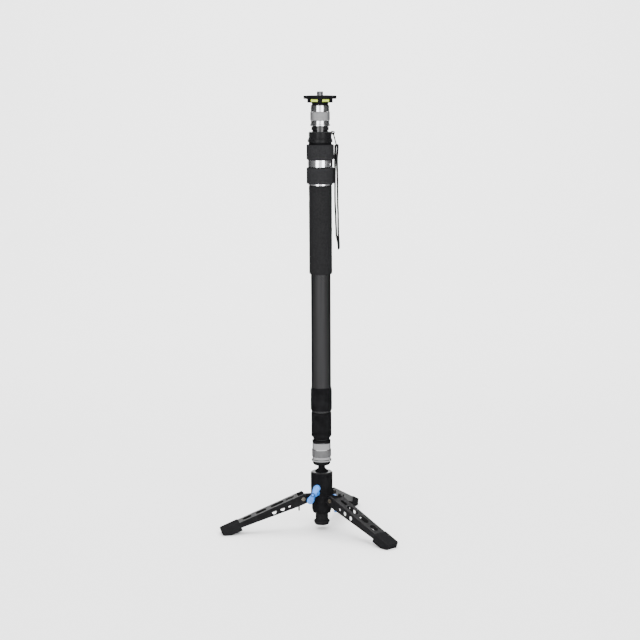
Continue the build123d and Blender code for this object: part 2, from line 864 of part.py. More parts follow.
upper_coupling_core.part.label = "upper_coupling_core"
export_step(upper_coupling_core.part, "parts/upper_coupling_core.step")

# Balls, springs and knurled collars of both couplings
collar_steps = {
    "lower": (lower_collar_z, lower_detent_z, lower_lip_h, lower_plain_h, lower_knurl_h, lower_grip_h),
    "upper": (upper_collar_z, upper_detent_z, upper_lip_h, upper_plain_h, upper_knurl_h, upper_grip_h),
}
spring_seats = {
    "lower": lower_collar_z + core_foot_h,
    "upper": shoulder_z + shoulder_h,
}
for place, (low, detent_z, lip_h, plain_h, knurl_h, grip_h) in collar_steps.items():
    with BuildPart() as detent_balls:
        with Locations((0, 0, detent_z)):
            with PolarLocations(detent_out, detents):
                Sphere(detent_r)
    detent_balls.part.label = f"{place}_detent_balls"
    export_step(detent_balls.part, f"parts/{place}_detent_balls.step")

    knurl_low = low + lip_h + plain_h
    knurl_top = knurl_low + knurl_h
    collar_top = knurl_top + grip_h
    with BuildPart() as release_collar:
        with BuildSketch(Plane.XZ):
            with BuildLine():
                Polyline(
                    (collar_bore_r, collar_top),
                    (collar_r - collar_edge, collar_top),
                    (collar_r, collar_top - collar_edge),
                    (collar_r, knurl_top),
                    (knurl_r, knurl_top - collar_edge),
                    (knurl_r, knurl_low + collar_edge),
                    (collar_r, knurl_low),
                    (collar_r, low + lip_h),
                    (lip_r, low + lip_h - collar_edge),
                    (lip_r, low + collar_edge),
                    (lip_r - collar_edge, low),
                    (flange_r + loose_gap, low),
                    (flange_r + loose_gap, low + lip_h),
                    (spring_pocket_r, low + lip_h),
                    (spring_pocket_r, low + pocket_top),
                    (collar_bore_r, low + pocket_top),
                    (collar_bore_r, detent_z + relief_above_detent),
                    (relief_r, detent_z + relief_above_detent),
                    (relief_r, detent_z + relief_above_detent + relief_h),
                    (collar_bore_r, detent_z + relief_above_detent + relief_h),
                    close=True,
                )
            make_face()
        revolve(axis=Axis.Z)
    release_collar.part.label = f"{place}_release_collar"
    export_step(release_collar.part, f"parts/{place}_release_collar.step")

    spring_low = spring_seats[place]
    spring_h = low + pocket_top - spring_low
    spring_r = (core_r + spring_pocket_r) / 2
    spring_pitch = (spring_h - 2 * (spring_wire_r + running_gap)) / spring_turns
    with BuildPart() as release_spring:
        with BuildLine():
            coil = Helix(spring_pitch, spring_pitch * spring_turns, spring_r,
                         center=(0, 0, spring_low + spring_wire_r + running_gap))
        with BuildSketch(Plane(origin=coil @ 0, z_dir=coil % 0)):
            Circle(spring_wire_r)
        sweep(is_frenet=True)
    release_spring.part.label = f"{place}_release_spring"
    export_step(release_spring.part, f"parts/{place}_release_spring.step")

# Carbon tubes, one inside the next
tubes = {
    "lower_tube": (lower_tube_z, lower_tube_len, lower_tube_r, lower_tube_bore),
    "middle_tube": (middle_tube_z, middle_tube_len, middle_tube_r, middle_tube_bore),
    "outer_tube": (outer_tube_z, outer_tube_len, outer_tube_r, outer_tube_bore),
}
for name, (low, length, radius, bore) in tubes.items():
    with BuildPart() as tube:
        with BuildSketch(Plane.XY.offset(low)):
            Circle(radius)
            Circle(bore, mode=Mode.SUBTRACT)
        extrude(amount=length)
    tube.part.label = name
    export_step(tube.part, f"parts/{name}.step")

# Ring at the foot of the lower tube
with BuildPart() as lower_end_ring:
    with BuildSketch(Plane.XY.offset(lower_tube_z)):
        Circle(end_ring_r)
        Circle(lower_tube_r + plug_gap, mode=Mode.SUBTRACT)
    extrude(amount=end_ring_h)
    chamfer(lower_end_ring.edges().group_by(Axis.Z)[-1].sort_by(SortBy.RADIUS)[-1:], collar_edge)
lower_end_ring.part.label = "lower_end_ring"
export_step(lower_end_ring.part, "parts/lower_end_ring.step")

# Collar at the foot of the middle tube
cone_z = middle_collar_z + middle_lip_h
band_low_z = cone_z + middle_cone_h
band_top_z = band_low_z + middle_band_h
with BuildPart() as middle_collar:
    with BuildSketch(Plane.XZ):
        with BuildLine():
            Polyline(
                (lower_tube_r + loose_gap, middle_collar_z),
                (middle_lip_r, middle_collar_z),
                (middle_lip_r, cone_z),
                (middle_collar_r, band_low_z),
                (middle_collar_r, band_top_z),
                (middle_collar_r - band_groove_depth, band_top_z),
                (middle_collar_r - band_groove_depth, band_top_z + band_groove_w),
                (middle_collar_r, band_top_z + band_groove_w),
                (middle_collar_r, middle_collar_top - collar_edge),
                (middle_collar_r - collar_edge, middle_collar_top),
                (middle_tube_r + plug_gap, middle_collar_top),
                (middle_tube_r + plug_gap, middle_tube_z),
                (lower_tube_r + loose_gap, middle_tube_z),
                close=True,
            )
        make_face()
    revolve(axis=Axis.Z)
middle_collar.part.label = "middle_collar"
export_step(middle_collar.part, "parts/middle_collar.step")

# Collar at the foot of the outer tube
outer_ramp_z = outer_collar_z + outer_collar_h
with BuildPart() as outer_collar:
    with BuildSketch(Plane.XZ):
        with BuildLine():
            Polyline(
                (outer_tube_r + plug_gap, outer_collar_z),
                (outer_collar_r - collar_edge, outer_collar_z),
                (outer_collar_r, outer_collar_z + collar_edge),
                (outer_collar_r, outer_ramp_z),
                (outer_tube_r + loose_gap, outer_ramp_z + outer_ramp_h),
                (outer_tube_r + plug_gap, outer_ramp_z + outer_ramp_h),
                close=True,
            )
        make_face()
    revolve(axis=Axis.Z)
outer_collar.part.label = "outer_collar"
export_step(outer_collar.part, "parts/outer_collar.step")

# Slide bushes pressed into the feet of the middle and outer tubes
bushes = {
    "middle_bush": (middle_tube_z, middle_tube_bore, lower_tube_r),
    "outer_bush": (outer_tube_z, outer_tube_bore, middle_tube_r),
}
for name, (low, carrier_bore, sliding_r) in bushes.items():
    with BuildPart() as bush:
        with BuildSketch(Plane.XY.offset(low)):
            Circle(carrier_bore - plug_gap)
            Circle(sliding_r + running_gap, mode=Mode.SUBTRACT)
        extrude(amount=bush_len)
    bush.part.label = name
    export_step(bush.part, f"parts/{name}.step")

# Twist-lock cages with their shoes and cams, on the tops of the lower and middle tubes
drive_tube_z = lower_tube_z + plug_len + drive_tube_low
drive_tube_top = middle_tube_top + drive_tube_low
rod_z = drive_tube_z + rod_low
rod_top = spider_z + spider_h + rod_above_spider
hex_corner = 1 / cos(radians(30))
locks = {
    "lower": (lower_tube_top, lower_tube_bore, middle_tube_bore),
    "middle": (middle_tube_top, middle_tube_bore, outer_tube_bore),
}
for place, (low, plug_bore, gripped_bore) in locks.items():
    cage_r = gripped_bore - loose_gap
    middle_z = low + cage_h / 2
    with BuildPart() as lock_carrier:
        with BuildSketch(Plane.XY.offset(low - cage_plug_h)):
            Circle(plug_bore - plug_gap)
        extrude(amount=cage_plug_h)
        with BuildSketch(Plane.XY.offset(low)):
            Circle(cage_r)
        extrude(amount=cage_h)
        with BuildSketch(Plane.XY.offset(low - cage_plug_h)):
            Circle(drive_tube_af / 2 * hex_corner + loose_gap)
        extrude(amount=cage_plug_h + cage_h, mode=Mode.SUBTRACT)
        with BuildSketch(Plane.XY.offset(middle_z - cam_h / 2 - running_gap)):
            Circle(cage_bore_r + cam_lobe_r / 2)
        extrude(amount=cage_h, mode=Mode.SUBTRACT)
        for number in range(shoes):
            with BuildSketch(facing(number * 360 / shoes, 0, middle_z)):
                Rectangle(window_w, window_h)
            extrude(amount=cage_r + cut_over, mode=Mode.SUBTRACT)
    lock_carrier.part.label = f"{place}_lock_carrier"
    export_step(lock_carrier.part, f"parts/{place}_lock_carrier.step")

    with BuildPart() as lock_shoes:
        for number in range(shoes):
            with BuildSketch(facing(number * 360 / shoes, 0, middle_z)):
                Rectangle(window_w - loose_gap, window_h - loose_gap)
            extrude(amount=gripped_bore)
        with BuildSketch(Plane.XY.offset(middle_z - window_h)):
            Circle(gripped_bore + cut_over)
            Circle(gripped_bore - shoe_gap, mode=Mode.SUBTRACT)
        extrude(amount=2 * window_h, mode=Mode.SUBTRACT)
        with BuildSketch(Plane.XY.offset(middle_z - window_h)):
            Circle(cage_bore_r + cam_lobe_r / 2 + running_gap)
        extrude(amount=2 * window_h, mode=Mode.SUBTRACT)
    lock_shoes.part.label = f"{place}_lock_shoes"
    export_step(lock_shoes.part, f"parts/{place}_lock_shoes.step")

    across = drive_tube_af + 2 * running_gap if place == "lower" else drive_tube_af
    with BuildPart() as lock_cam:
        with BuildSketch(Plane.XY.offset(middle_z - cam_h / 2)):
            Circle(cam_r)
            with PolarLocations(cam_r, shoes, start_angle=180 / shoes):
                Circle(cam_lobe_r)
            RegularPolygon(across / 2 * hex_corner, 6, mode=Mode.SUBTRACT)
        extrude(amount=cam_h)
    lock_cam.part.label = f"{place}_lock_cam"
    export_step(lock_cam.part, f"parts/{place}_lock_cam.step")

# Hexagonal drive: a tube in the middle cam and a rod in the spider
with BuildPart() as drive_tube:
    with BuildSketch(Plane.XY.offset(drive_tube_z)):
        RegularPolygon((drive_tube_af / 2 - plug_gap) * hex_corner, 6)
        RegularPolygon((drive_rod_af / 2 + running_gap) * hex_corner, 6, mode=Mode.SUBTRACT)
    extrude(amount=drive_tube_top - drive_tube_z)
drive_tube.part.label = "drive_tube"
export_step(drive_tube.part, "parts/drive_tube.step")

with BuildPart() as drive_rod:
    with BuildSketch(Plane.XY.offset(rod_z)):
        RegularPolygon(drive_rod_af / 2 * hex_corner, 6)
    extrude(amount=rod_top - rod_z)
drive_rod.part.label = "drive_rod"
export_step(drive_rod.part, "parts/drive_rod.step")

# Spider that joins the rod to the twist collar through the sleeve's windows
with BuildPart() as drive_spider:
    with BuildSketch(Plane.XY.offset(spider_z)):
        Circle(spider_hub_r)
        for number in range(spiders):
            with Locations(Rotation(0, 0, number * 360 / spiders)):
                with Locations((spider_tip / 2, 0)):
                    Rectangle(spider_tip, spider_arm_w)
        RegularPolygon((drive_rod_af / 2 + plug_gap) * hex_corner, 6, mode=Mode.SUBTRACT)
    extrude(amount=spider_h)
drive_spider.part.label = "drive_spider"
export_step(drive_spider.part, "parts/drive_spider.step")

# Sleeve over the top of the outer tube, with a window for each arm of the spider
with BuildPart() as head_sleeve:
    with BuildSketch(Plane.XY.offset(sleeve_z)):
        Circle(sleeve_r)
        Circle(outer_tube_r + plug_gap, mode=Mode.SUBTRACT)
    extrude(amount=outer_tube_top - sleeve_z)
    with BuildSketch(Plane.XY.offset(outer_tube_top)):
        Circle(sleeve_r)
        Circle(outer_tube_bore, mode=Mode.SUBTRACT)
    extrude(amount=sleeve_top - outer_tube_top)
    for number in range(spiders):
        with BuildSketch(Plane.XY.offset(window_z)):
            with BuildLine():
                middle_angle = number * 360 / spiders + twist_angle / 2
                sweep_from = middle_angle - sleeve_window_angle / 2
                reach = 2 * sleeve_r
                PolarLine((0, 0), reach, sweep_from)
                CenterArc((0, 0), reach, sweep_from, sleeve_window_angle)
                PolarLine((0, 0), reach, sweep_from + sleeve_window_angle)
            make_face()
        extrude(amount=window_up_h, mode=Mode.SUBTRACT)
head_sleeve.part.label = "head_sleeve"
export_step(head_sleeve.part, "parts/head_sleeve.step")

# Twist collar that the user turns, with a slot for each arm of the spider
with BuildPart() as twist_collar:
    with BuildSketch(Plane.XY.offset(twist_z)):
        Circle(grip_collar_r)
    extrude(amount=twist_h)
    chamfer(twist_collar.edges().filter_by(GeomType.CIRCLE), twist_chamfer / 2, twist_chamfer / 3)
    with BuildSketch(Plane.XY.offset(twist_z)):
        Circle(sleeve_r + loose_gap)
    extrude(amount=twist_h, mode=Mode.SUBTRACT)
    with BuildSketch(Plane.XY.offset(spider_z - plug_gap)):
        for number in range(spiders):
            with Locations(Rotation(0, 0, number * 360 / spiders)):
                with Locations((spider_tip / 2, 0)):
                    Rectangle(spider_tip + loose_gap, spider_arm_w + running_gap)
    extrude(amount=spider_h + 2 * plug_gap, mode=Mode.SUBTRACT)
twist_collar.part.label = "twist_collar"
export_step(twist_collar.part, "parts/twist_collar.step")

# Fixed rubber ring below the twist collar, and the silver index band between them
with BuildPart() as fixed_grip_ring:
    with BuildSketch(Plane.XY.offset(fixed_ring_z)):
        Circle(grip_collar_r)
    extrude(amount=fixed_ring_h)
    chamfer(fixed_grip_ring.edges().filter_by(GeomType.CIRCLE), twist_chamfer / 2, twist_chamfer / 3)
    with BuildSketch(Plane.XY.offset(fixed_ring_z)):
        Circle(outer_tube_r + plug_gap)
    extrude(amount=fixed_ring_h, mode=Mode.SUBTRACT)
fixed_grip_ring.part.label = "fixed_grip_ring"
export_step(fixed_grip_ring.part, "parts/fixed_grip_ring.step")

with BuildPart() as index_band:
    with BuildSketch(Plane.XY.offset(band_z)):
        Circle(band_r)
        Circle(sleeve_r + plug_gap, mode=Mode.SUBTRACT)
    extrude(amount=band_h)
index_band.part.label = "index_band"
export_step(index_band.part, "parts/index_band.step")

# Foam grip and the bright ring above it
with BuildPart() as foam_grip:
    with BuildSketch(Plane.XY.offset(foam_z)):
        Circle(foam_r)
    extrude(amount=foam_h)
    fillet(foam_grip.edges().filter_by(GeomType.CIRCLE), foam_edge_r)
    with BuildSketch(Plane.XY.offset(foam_z)):
        Circle(outer_tube_r + plug_gap)
    extrude(amount=foam_h, mode=Mode.SUBTRACT)
foam_grip.part.label = "foam_grip"
export_step(foam_grip.part, "parts/foam_grip.step")

with BuildPart() as grip_end_ring:
    with BuildSketch(Plane.XY.offset(foam_z + foam_h)):
        Circle(grip_ring_r)
        Circle(outer_tube_r + plug_gap, mode=Mode.SUBTRACT)
    extrude(amount=grip_ring_h)
grip_end_ring.part.label = "grip_end_ring"
export_step(grip_end_ring.part, "parts/grip_end_ring.step")

# Head cap with the lug of the wrist strap
with BuildPart() as head_cap:
    with BuildSketch(Plane.XZ):
        with BuildLine():
            slope_z = cap_z + cap_low_h
            Polyline(
                (0, cap_z - cap_spigot_h),
                (outer_tube_bore - plug_gap, cap_z - cap_spigot_h),
                (outer_tube_bore - plug_gap, cap_z),
                (cap_low_r, cap_z),
                (cap_low_r, slope_z),
                (cap_r, slope_z + cap_slope_h),
                (cap_r, cap_top - collar_edge),
                (cap_r - collar_edge, cap_top),
                (0, cap_top),
                close=True,
            )
        make_face()
    revolve(axis=Axis.Z)
    with BuildSketch(Plane.XZ):
        with Locations((lug_eye_out, eye_z)):
            Circle(lug_eye_r)
        with Locations(((core_base_r + lug_eye_out) / 2, eye_z)):
            Rectangle(lug_eye_out - core_base_r, 2 * lug_eye_r)
        with Locations((lug_eye_out, eye_z)):
            Circle(ring_wire_r + eye_gap, mode=Mode.SUBTRACT)
    extrude(amount=lug_w_strap / 2, both=True)
    with BuildSketch(Plane.XY.offset(cap_top)):
        Circle(cap_r - collar_edge)
    extrude(amount=lug_eye_r, mode=Mode.SUBTRACT)
    with BuildSketch(Plane.XY.offset(cap_top)):
        Circle(core_stud_r + plug_gap)
    extrude(amount=-core_stud_len, mode=Mode.SUBTRACT)
head_cap.part.label = "head_cap"
export_step(head_cap.part, "parts/head_cap.step")

# Hub under the plate, with its spigot, neck and pockets for the two levels
vial_angles = (270 - vial_spread, 270 + vial_spread)
vial_z = plate_z - vial_drop
with BuildPart() as plate_hub:
    with BuildSketch(Plane.XY.offset(upper_detent_z - spigot_above_detent)):
        Circle(spigot_r)
    extrude(amount=neck_z - upper_detent_z + spigot_above_detent)
    with BuildSketch(Plane.XY.offset(neck_z)):
        Circle(neck_r)
    extrude(amount=neck_h)
    with BuildSketch(Plane.XY.offset(plate_hub_z)):
        Circle(plate_hub_r)
    extrude(amount=plate_hub_h)
    with BuildSketch(Plane.XZ):
        with Locations((detent_out, upper_detent_z)):
            Circle(detent_groove_r)
    revolve(axis=Axis.Z, mode=Mode.SUBTRACT)
    with BuildSketch(Plane.XY.offset(plate_z)):
        Circle(camera_head_r + plug_gap)
    extrude(amount=-camera_head_h, mode=Mode.SUBTRACT)
    for angle in vial_angles:
        turn = radians(angle)
        with Locations(Location((vial_out * cos(turn), vial_out * sin(turn), vial_z), (0, 0, angle))):
            Box(2 * (plate_hub_r - vial_out + vial_r), vial_len + 2 * plug_gap, 2 * (vial_r + plug_gap),
                mode=Mode.SUBTRACT)
plate_hub.part.label = "plate_hub"
export_step(plate_hub.part, "parts/plate_hub.step")

# Two tubular spirit levels
with BuildPart() as level_vials:
    for angle in vial_angles:
        turn = radians(angle)
        middle = (vial_out * cos(turn), vial_out * sin(turn), vial_z)
        with BuildSketch(Plane(origin=middle, z_dir=(-sin(turn), cos(turn), 0))):
            Circle(vial_r)
        extrude(amount=vial_len / 2, both=True)
level_vials.part.label = "level_vials"
export_step(level_vials.part, "parts/level_vials.step")

# Top plate and the camera screw through it
with BuildPart() as top_plate:
    with BuildSketch(Plane.XY.offset(plate_z)):
        Circle(plate_r)
    extrude(amount=plate_h)
    chamfer(top_plate.edges().filter_by(GeomType.CIRCLE), plate_edge)
    with BuildSketch(Plane.XY.offset(plate_z)):
        Circle(camera_shank_r + plug_gap)
    extrude(amount=plate_h, mode=Mode.SUBTRACT)
top_plate.part.label = "top_plate"
export_step(top_plate.part, "parts/top_plate.step")

with BuildPart() as camera_screw:
    with BuildSketch(Plane.XY.offset(plate_z - camera_head_h)):
        Circle(camera_head_r)
    extrude(amount=camera_head_h)
    with BuildSketch(Plane.XY.offset(plate_z)):
        Circle(camera_shank_r)
    extrude(amount=plate_h)
    with BuildSketch(Plane.XY.offset(plate_z + plate_h)):
        Circle(screw_relief_r)
    extrude(amount=screw_relief_h)
    with BuildSketch(Plane.XY.offset(plate_z + plate_h + screw_relief_h)):
        Circle(camera_screw_r)
    extrude(amount=camera_screw_h - screw_relief_h)
    chamfer(camera_screw.faces().sort_by(Axis.Z)[-1].edges(), collar_edge)
camera_screw.part.label = "camera_screw"
export_step(camera_screw.part, "parts/camera_screw.step")

# Wire ring of the strap, leaning out from the lug's eye
ring_lean = Plane(origin=(lug_eye_out, 0, eye_z), x_dir=(0, 1, 0), z_dir=(ring_drop, 0, ring_lean_out))
ring_side = (ring_drop ** 2 + ring_lean_out ** 2) ** 0.5
with BuildPart() as strap_ring:
    with BuildLine(ring_lean):
        wire = FilletPolyline(
            (-ring_top_half, 0),
            (ring_top_half, 0),
            (ring_half_w, -ring_side),
            (-ring_half_w, -ring_side),
            close=True,
            radius=ring_corner_r,
        )
    with BuildSketch(Plane(origin=wire @ 0, z_dir=wire % 0)):
        Circle(ring_wire_r)
    sweep()
strap_ring.part.label = "strap_ring"
export_step(strap_ring.part, "parts/strap_ring.step")

# Wrist strap: one closed loop of webbing round the ring's lower bar
bar_x = lug_eye_out + ring_lean_out
bar_z = eye_z - ring_drop
strap_bottom_z = bar_z - strap_drop
with BuildPart() as wrist_strap:
    with BuildSketch(Plane.XZ):
        with BuildSketch(Plane.XZ, mode=Mode.PRIVATE) as outer_face:
            with Locations((bar_x, bar_z)):
                Circle(strap_bend_r + strap_thick / 2)
            with Locations((bar_x + strap_end_out, strap_bottom_z)):
                Circle(strap_end_r + strap_thick / 2)
            make_hull()
        with BuildSketch(Plane.XZ, mode=Mode.PRIVATE) as inner_face:
            with Locations((bar_x, bar_z)):
                Circle(strap_bend_r - strap_thick / 2)
            with Locations((bar_x + strap_end_out, strap_bottom_z)):
                Circle(strap_end_r - strap_thick / 2)
            make_hull()
        add(outer_face.sketch_local)
        add(inner_face.sketch_local, mode=Mode.SUBTRACT)
    extrude(amount=strap_w / 2, both=True)
wrist_strap.part.label = "wrist_strap"
export_step(wrist_strap.part, "parts/wrist_strap.step")
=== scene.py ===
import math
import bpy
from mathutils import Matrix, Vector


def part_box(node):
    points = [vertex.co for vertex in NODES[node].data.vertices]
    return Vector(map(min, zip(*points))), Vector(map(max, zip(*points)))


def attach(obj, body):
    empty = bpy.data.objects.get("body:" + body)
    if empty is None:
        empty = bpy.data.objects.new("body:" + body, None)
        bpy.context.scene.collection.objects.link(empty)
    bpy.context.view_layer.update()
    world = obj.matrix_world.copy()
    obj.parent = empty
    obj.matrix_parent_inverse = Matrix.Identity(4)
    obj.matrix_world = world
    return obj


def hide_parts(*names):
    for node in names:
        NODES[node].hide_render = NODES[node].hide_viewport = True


bl_info = {
    "name": "Camera Monopod",
    "version": (1, 0, 0),
    "blender": (4, 5, 0),
    "location": "View3D > Sidebar > Monopod",
    "description": "Finishes and soft pieces of a twist-lock camera monopod with a folding foot",
    "category": "Object",
}

import bpy
from bpy.props import FloatProperty, FloatVectorProperty, IntProperty, PointerProperty
from mathutils import Vector

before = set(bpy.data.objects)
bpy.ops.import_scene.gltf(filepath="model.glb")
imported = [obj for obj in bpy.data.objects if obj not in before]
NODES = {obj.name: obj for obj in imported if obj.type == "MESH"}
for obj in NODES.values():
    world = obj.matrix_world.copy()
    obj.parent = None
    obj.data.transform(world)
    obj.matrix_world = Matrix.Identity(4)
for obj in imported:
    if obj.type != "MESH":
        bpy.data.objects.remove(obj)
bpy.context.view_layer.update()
MM = 0.001
CLOSE = 1e-6  # lengths that count as the same, in metres
LEVEL = 0.9  # upright part of the normal of a level face

# Azimuths round the column, in degrees from the X axis
LEG_AZIMUTHS = (71.8, 191.8, 311.8)
BALL_LOCK_AZIMUTH = 245.5
PAN_LOCK_AZIMUTH = 11.8
INDEX_AZIMUTH = -36.0


def low(node, axis=2):
    """Lowest value of a CAD node along an axis."""
    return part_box(node)[0][axis]


def high(node, axis=2):
    """Highest value of a CAD node along an axis."""
    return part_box(node)[1][axis]


class MonopodSizes(bpy.types.PropertyGroup):
    """Sizes of the pieces that are modelled here"""

    knurl_teeth: IntProperty(name="Knurl teeth", description="Ridges round each release collar", default=72)
    knurl_depth: FloatProperty(
        name="Knurl depth", description="Depth of the knurl", default=0.25 * MM, unit="LENGTH"
    )
    foam_edge: FloatProperty(
        name="Foam edge", description="Rounding at both ends of the foam grip", default=2.4 * MM,
        unit="LENGTH",
    )
    strap_thickness: FloatProperty(
        name="Strap thickness", description="Thickness of the webbing", default=1.3 * MM, unit="LENGTH"
    )
    thread_pitch: FloatProperty(
        name="Thread pitch", description="Pitch of the camera screw", default=1.5875 * MM, unit="LENGTH"
    )
    camera_distance: FloatProperty(
        name="Camera distance", description="Distance from the column to the camera", default=2.909,
        unit="LENGTH",
    )
    camera_height: FloatProperty(
        name="Camera height", description="Height of the camera over the floor", default=0.806, unit="LENGTH"
    )


class MonopodColours(bpy.types.PropertyGroup):
    """Colours of the finishes"""

    black: FloatVectorProperty(
        name="Black metal", description="Black anodised metal", subtype="COLOR",
        default=(0.0052, 0.0052, 0.0056),
    )
    gunmetal: FloatVectorProperty(
        name="Release collars", description="Turned metal of the release collars", subtype="COLOR",
        default=(0.52, 0.52, 0.53),
    )
    silver: FloatVectorProperty(
        name="Silver", description="Turned bright metal", subtype="COLOR", default=(0.72, 0.72, 0.74)
    )
    blue: FloatVectorProperty(
        name="Blue", description="Light blue anodised screws", subtype="COLOR", default=(0.022, 0.15, 0.5)
    )
    brass: FloatVectorProperty(
        name="Brass", description="Brass screws", subtype="COLOR", default=(0.62, 0.40, 0.16)
    )
    rubber: FloatVectorProperty(
        name="Rubber", description="Black rubber", subtype="COLOR", default=(0.0085, 0.0085, 0.009)
    )
    foam: FloatVectorProperty(
        name="Foam", description="Grip foam", subtype="COLOR", default=(0.0105, 0.0105, 0.011)
    )
    carbon: FloatVectorProperty(
        name="Carbon", description="Carbon weave", subtype="COLOR", default=(0.018, 0.018, 0.0186)
    )
    webbing: FloatVectorProperty(
        name="Webbing", description="Strap webbing", subtype="COLOR", default=(0.008, 0.008, 0.0085)
    )
    vial: FloatVectorProperty(
        name="Spirit", description="Liquid of the levels", subtype="COLOR", default=(0.62, 0.78, 0.08)
    )


def sizes():
    """Sizes set in the sidebar."""
    return bpy.context.scene.monopod_sizes


def colours():
    """Colours set in the sidebar."""
    return bpy.context.scene.monopod_colours


def deselect():
    """Start from nothing selected."""
    if bpy.context.mode != "OBJECT":
        bpy.ops.object.mode_set(mode="OBJECT")
    bpy.ops.object.select_all(action="DESELECT")


def place(piece, name, body, finish, replaced=()):
    """Bake a finished piece's place into its mesh, give it a finish and fix it to its body."""
    deselect()
    piece.select_set(True)
    bpy.context.view_layer.objects.active = piece
    bpy.ops.object.transform_apply(location=True, rotation=True, scale=True)
    piece.name = name
    piece.data.name = name
    piece.data.materials.clear()
    piece.data.materials.append(finish)
    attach(piece, body)
    if replaced:
        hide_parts(*replaced)
    return piece


def new_finish(name, colour, roughness, metallic=0.0):
    """Material with a Principled shader and Object coordinates."""
    material = bpy.data.materials.new(name)
    material.use_nodes = True
    material.diffuse_color = (*colour, 1.0)
    shader = material.node_tree.nodes["Principled BSDF"]
    shader.inputs["Base Color"].default_value = (*colour, 1.0)
    shader.inputs["Roughness"].default_value = roughness
    shader.inputs["Metallic"].default_value = metallic
    coords = material.node_tree.nodes.new("ShaderNodeTexCoord").outputs["Object"]
    return material, material.node_tree, shader, coords


def stretched(tree, coords, scale):
    """Coordinates scaled along X, Y and Z."""
    mapping = tree.nodes.new("ShaderNodeMapping")
    mapping.inputs["Scale"].default_value = scale
    tree.links.new(coords, mapping.inputs["Vector"])
    return mapping.outputs["Vector"]


def noise(tree, coords, scale, detail=4.0):
    """Noise value at the coordinates."""
    texture = tree.nodes.new("ShaderNodeTexNoise")
    texture.inputs["Scale"].default_value = scale
    texture.inputs["Detail"].default_value = detail
    tree.links.new(coords, texture.inputs["Vector"])
    return texture.outputs["Fac"]


def span(tree, value, lowest, highest):
    """Value from 0 to 1 spread between two limits."""
    node = tree.nodes.new("ShaderNodeMapRange")
    node.inputs["To Min"].default_value = lowest
    node.inputs["To Max"].default_value = highest
    tree.links.new(value, node.inputs["Value"])
    return node.outputs["Result"]


def shade(tree, shader, value, dark, light, start=0.35, end=0.65):
    """Base colour between a dark and a light tone."""
    ramp = tree.nodes.new("ShaderNodeValToRGB")
    ramp.color_ramp.elements[0].position = start
    ramp.color_ramp.elements[1].position = end
    ramp.color_ramp.elements[0].color = (*dark, 1.0)
    ramp.color_ramp.elements[1].color = (*light, 1.0)
    tree.links.new(value, ramp.inputs["Fac"])
    tree.links.new(ramp.outputs["Color"], shader.inputs["Base Color"])


def bump(tree, shader, height, strength, distance):
    """Fine relief."""
    node = tree.nodes.new("ShaderNodeBump")
    node.inputs["Strength"].default_value = strength
    node.inputs["Distance"].default_value = distance
    tree.links.new(height, node.inputs["Height"])
    tree.links.new(node.outputs["Normal"], shader.inputs["Normal"])


def toned(colour, factor):
    """A colour made lighter or darker."""
    return tuple(min(1.0, part * factor) for part in colour)


def roughen(tree, shader, value, roughness, smoother, rougher):
    """Roughness that changes a little with a value."""
    tree.links.new(span(tree, value, roughness - smoother, roughness + rougher), shader.inputs["Roughness"])


def anodised(name, colour, roughness=0.42, specular=0.0):
    """Bead-blasted anodised metal: a fine grain with small changes of tone."""
    tone_patches, dull_patches, grain = 90, 240, 2600
    material, tree, shader, coords = new_finish(name, colour, roughness)
    shader.inputs["Specular IOR Level"].default_value = specular
    shade(tree, shader, noise(tree, coords, tone_patches), toned(colour, 0.75), toned(colour, 1.35))
    roughen(tree, shader, noise(tree, coords, dull_patches), roughness, 0.07, 0.08)
    bump(tree, shader, noise(tree, coords, grain, 2.0), 0.22, 0.05 * MM)
    return material


def turned(name, colour, roughness=0.14):
    """Metal from the lathe: fine rings across the column."""
    ring_scale = (6, 6, 3200)
    material, tree, shader, coords = new_finish(name, colour, roughness, 1.0)
    shader.inputs["Specular Tint"].default_value = (0.0, 0.0, 0.0, 1.0)
    rings = noise(tree, stretched(tree, coords, ring_scale), 1.0, 3.0)
    shade(tree, shader, rings, toned(colour, 0.86), toned(colour, 1.08))
    roughen(tree, shader, rings, roughness, 0.04, 0.05)
    bump(tree, shader, rings, 0.08, 0.02 * MM)
    return material


def rubber(name, colour, grain=900, depth=0.08 * MM, roughness=0.6):
    """Moulded rubber: a soft grain and dull patches."""
    tone_patches, dull_patches = 420, 500
    material, tree, shader, coords = new_finish(name, colour, roughness)
    shader.inputs["Specular IOR Level"].default_value = 0.0
    shade(tree, shader, noise(tree, coords, tone_patches), toned(colour, 0.85), toned(colour, 1.2))
    roughen(tree, shader, noise(tree, coords, dull_patches), roughness, 0.05, 0.08)
    bump(tree, shader, noise(tree, coords, grain, 3.0), 0.35, depth)
    return material


def math_node(tree, operation, first, second=None):
    """One step of arithmetic on values or links."""
    node = tree.nodes.new("ShaderNodeMath")
    node.operation = operation
    for socket, value in zip(node.inputs, (first, second)):
        if value is None:
            continue
        if isinstance(value, (int, float)):
            socket.default_value = value
        else:
            tree.links.new(value, socket)
    return node.outputs["Value"]


def round_column(tree, coords):
    """Angle round the column and height, as links."""
    parts = tree.nodes.new("ShaderNodeSeparateXYZ")
    tree.links.new(coords, parts.inputs["Vector"])
    angle = math_node(tree, "ARCTAN2", parts.outputs["Y"], parts.outputs["X"])
    return angle, parts.outputs["Z"]


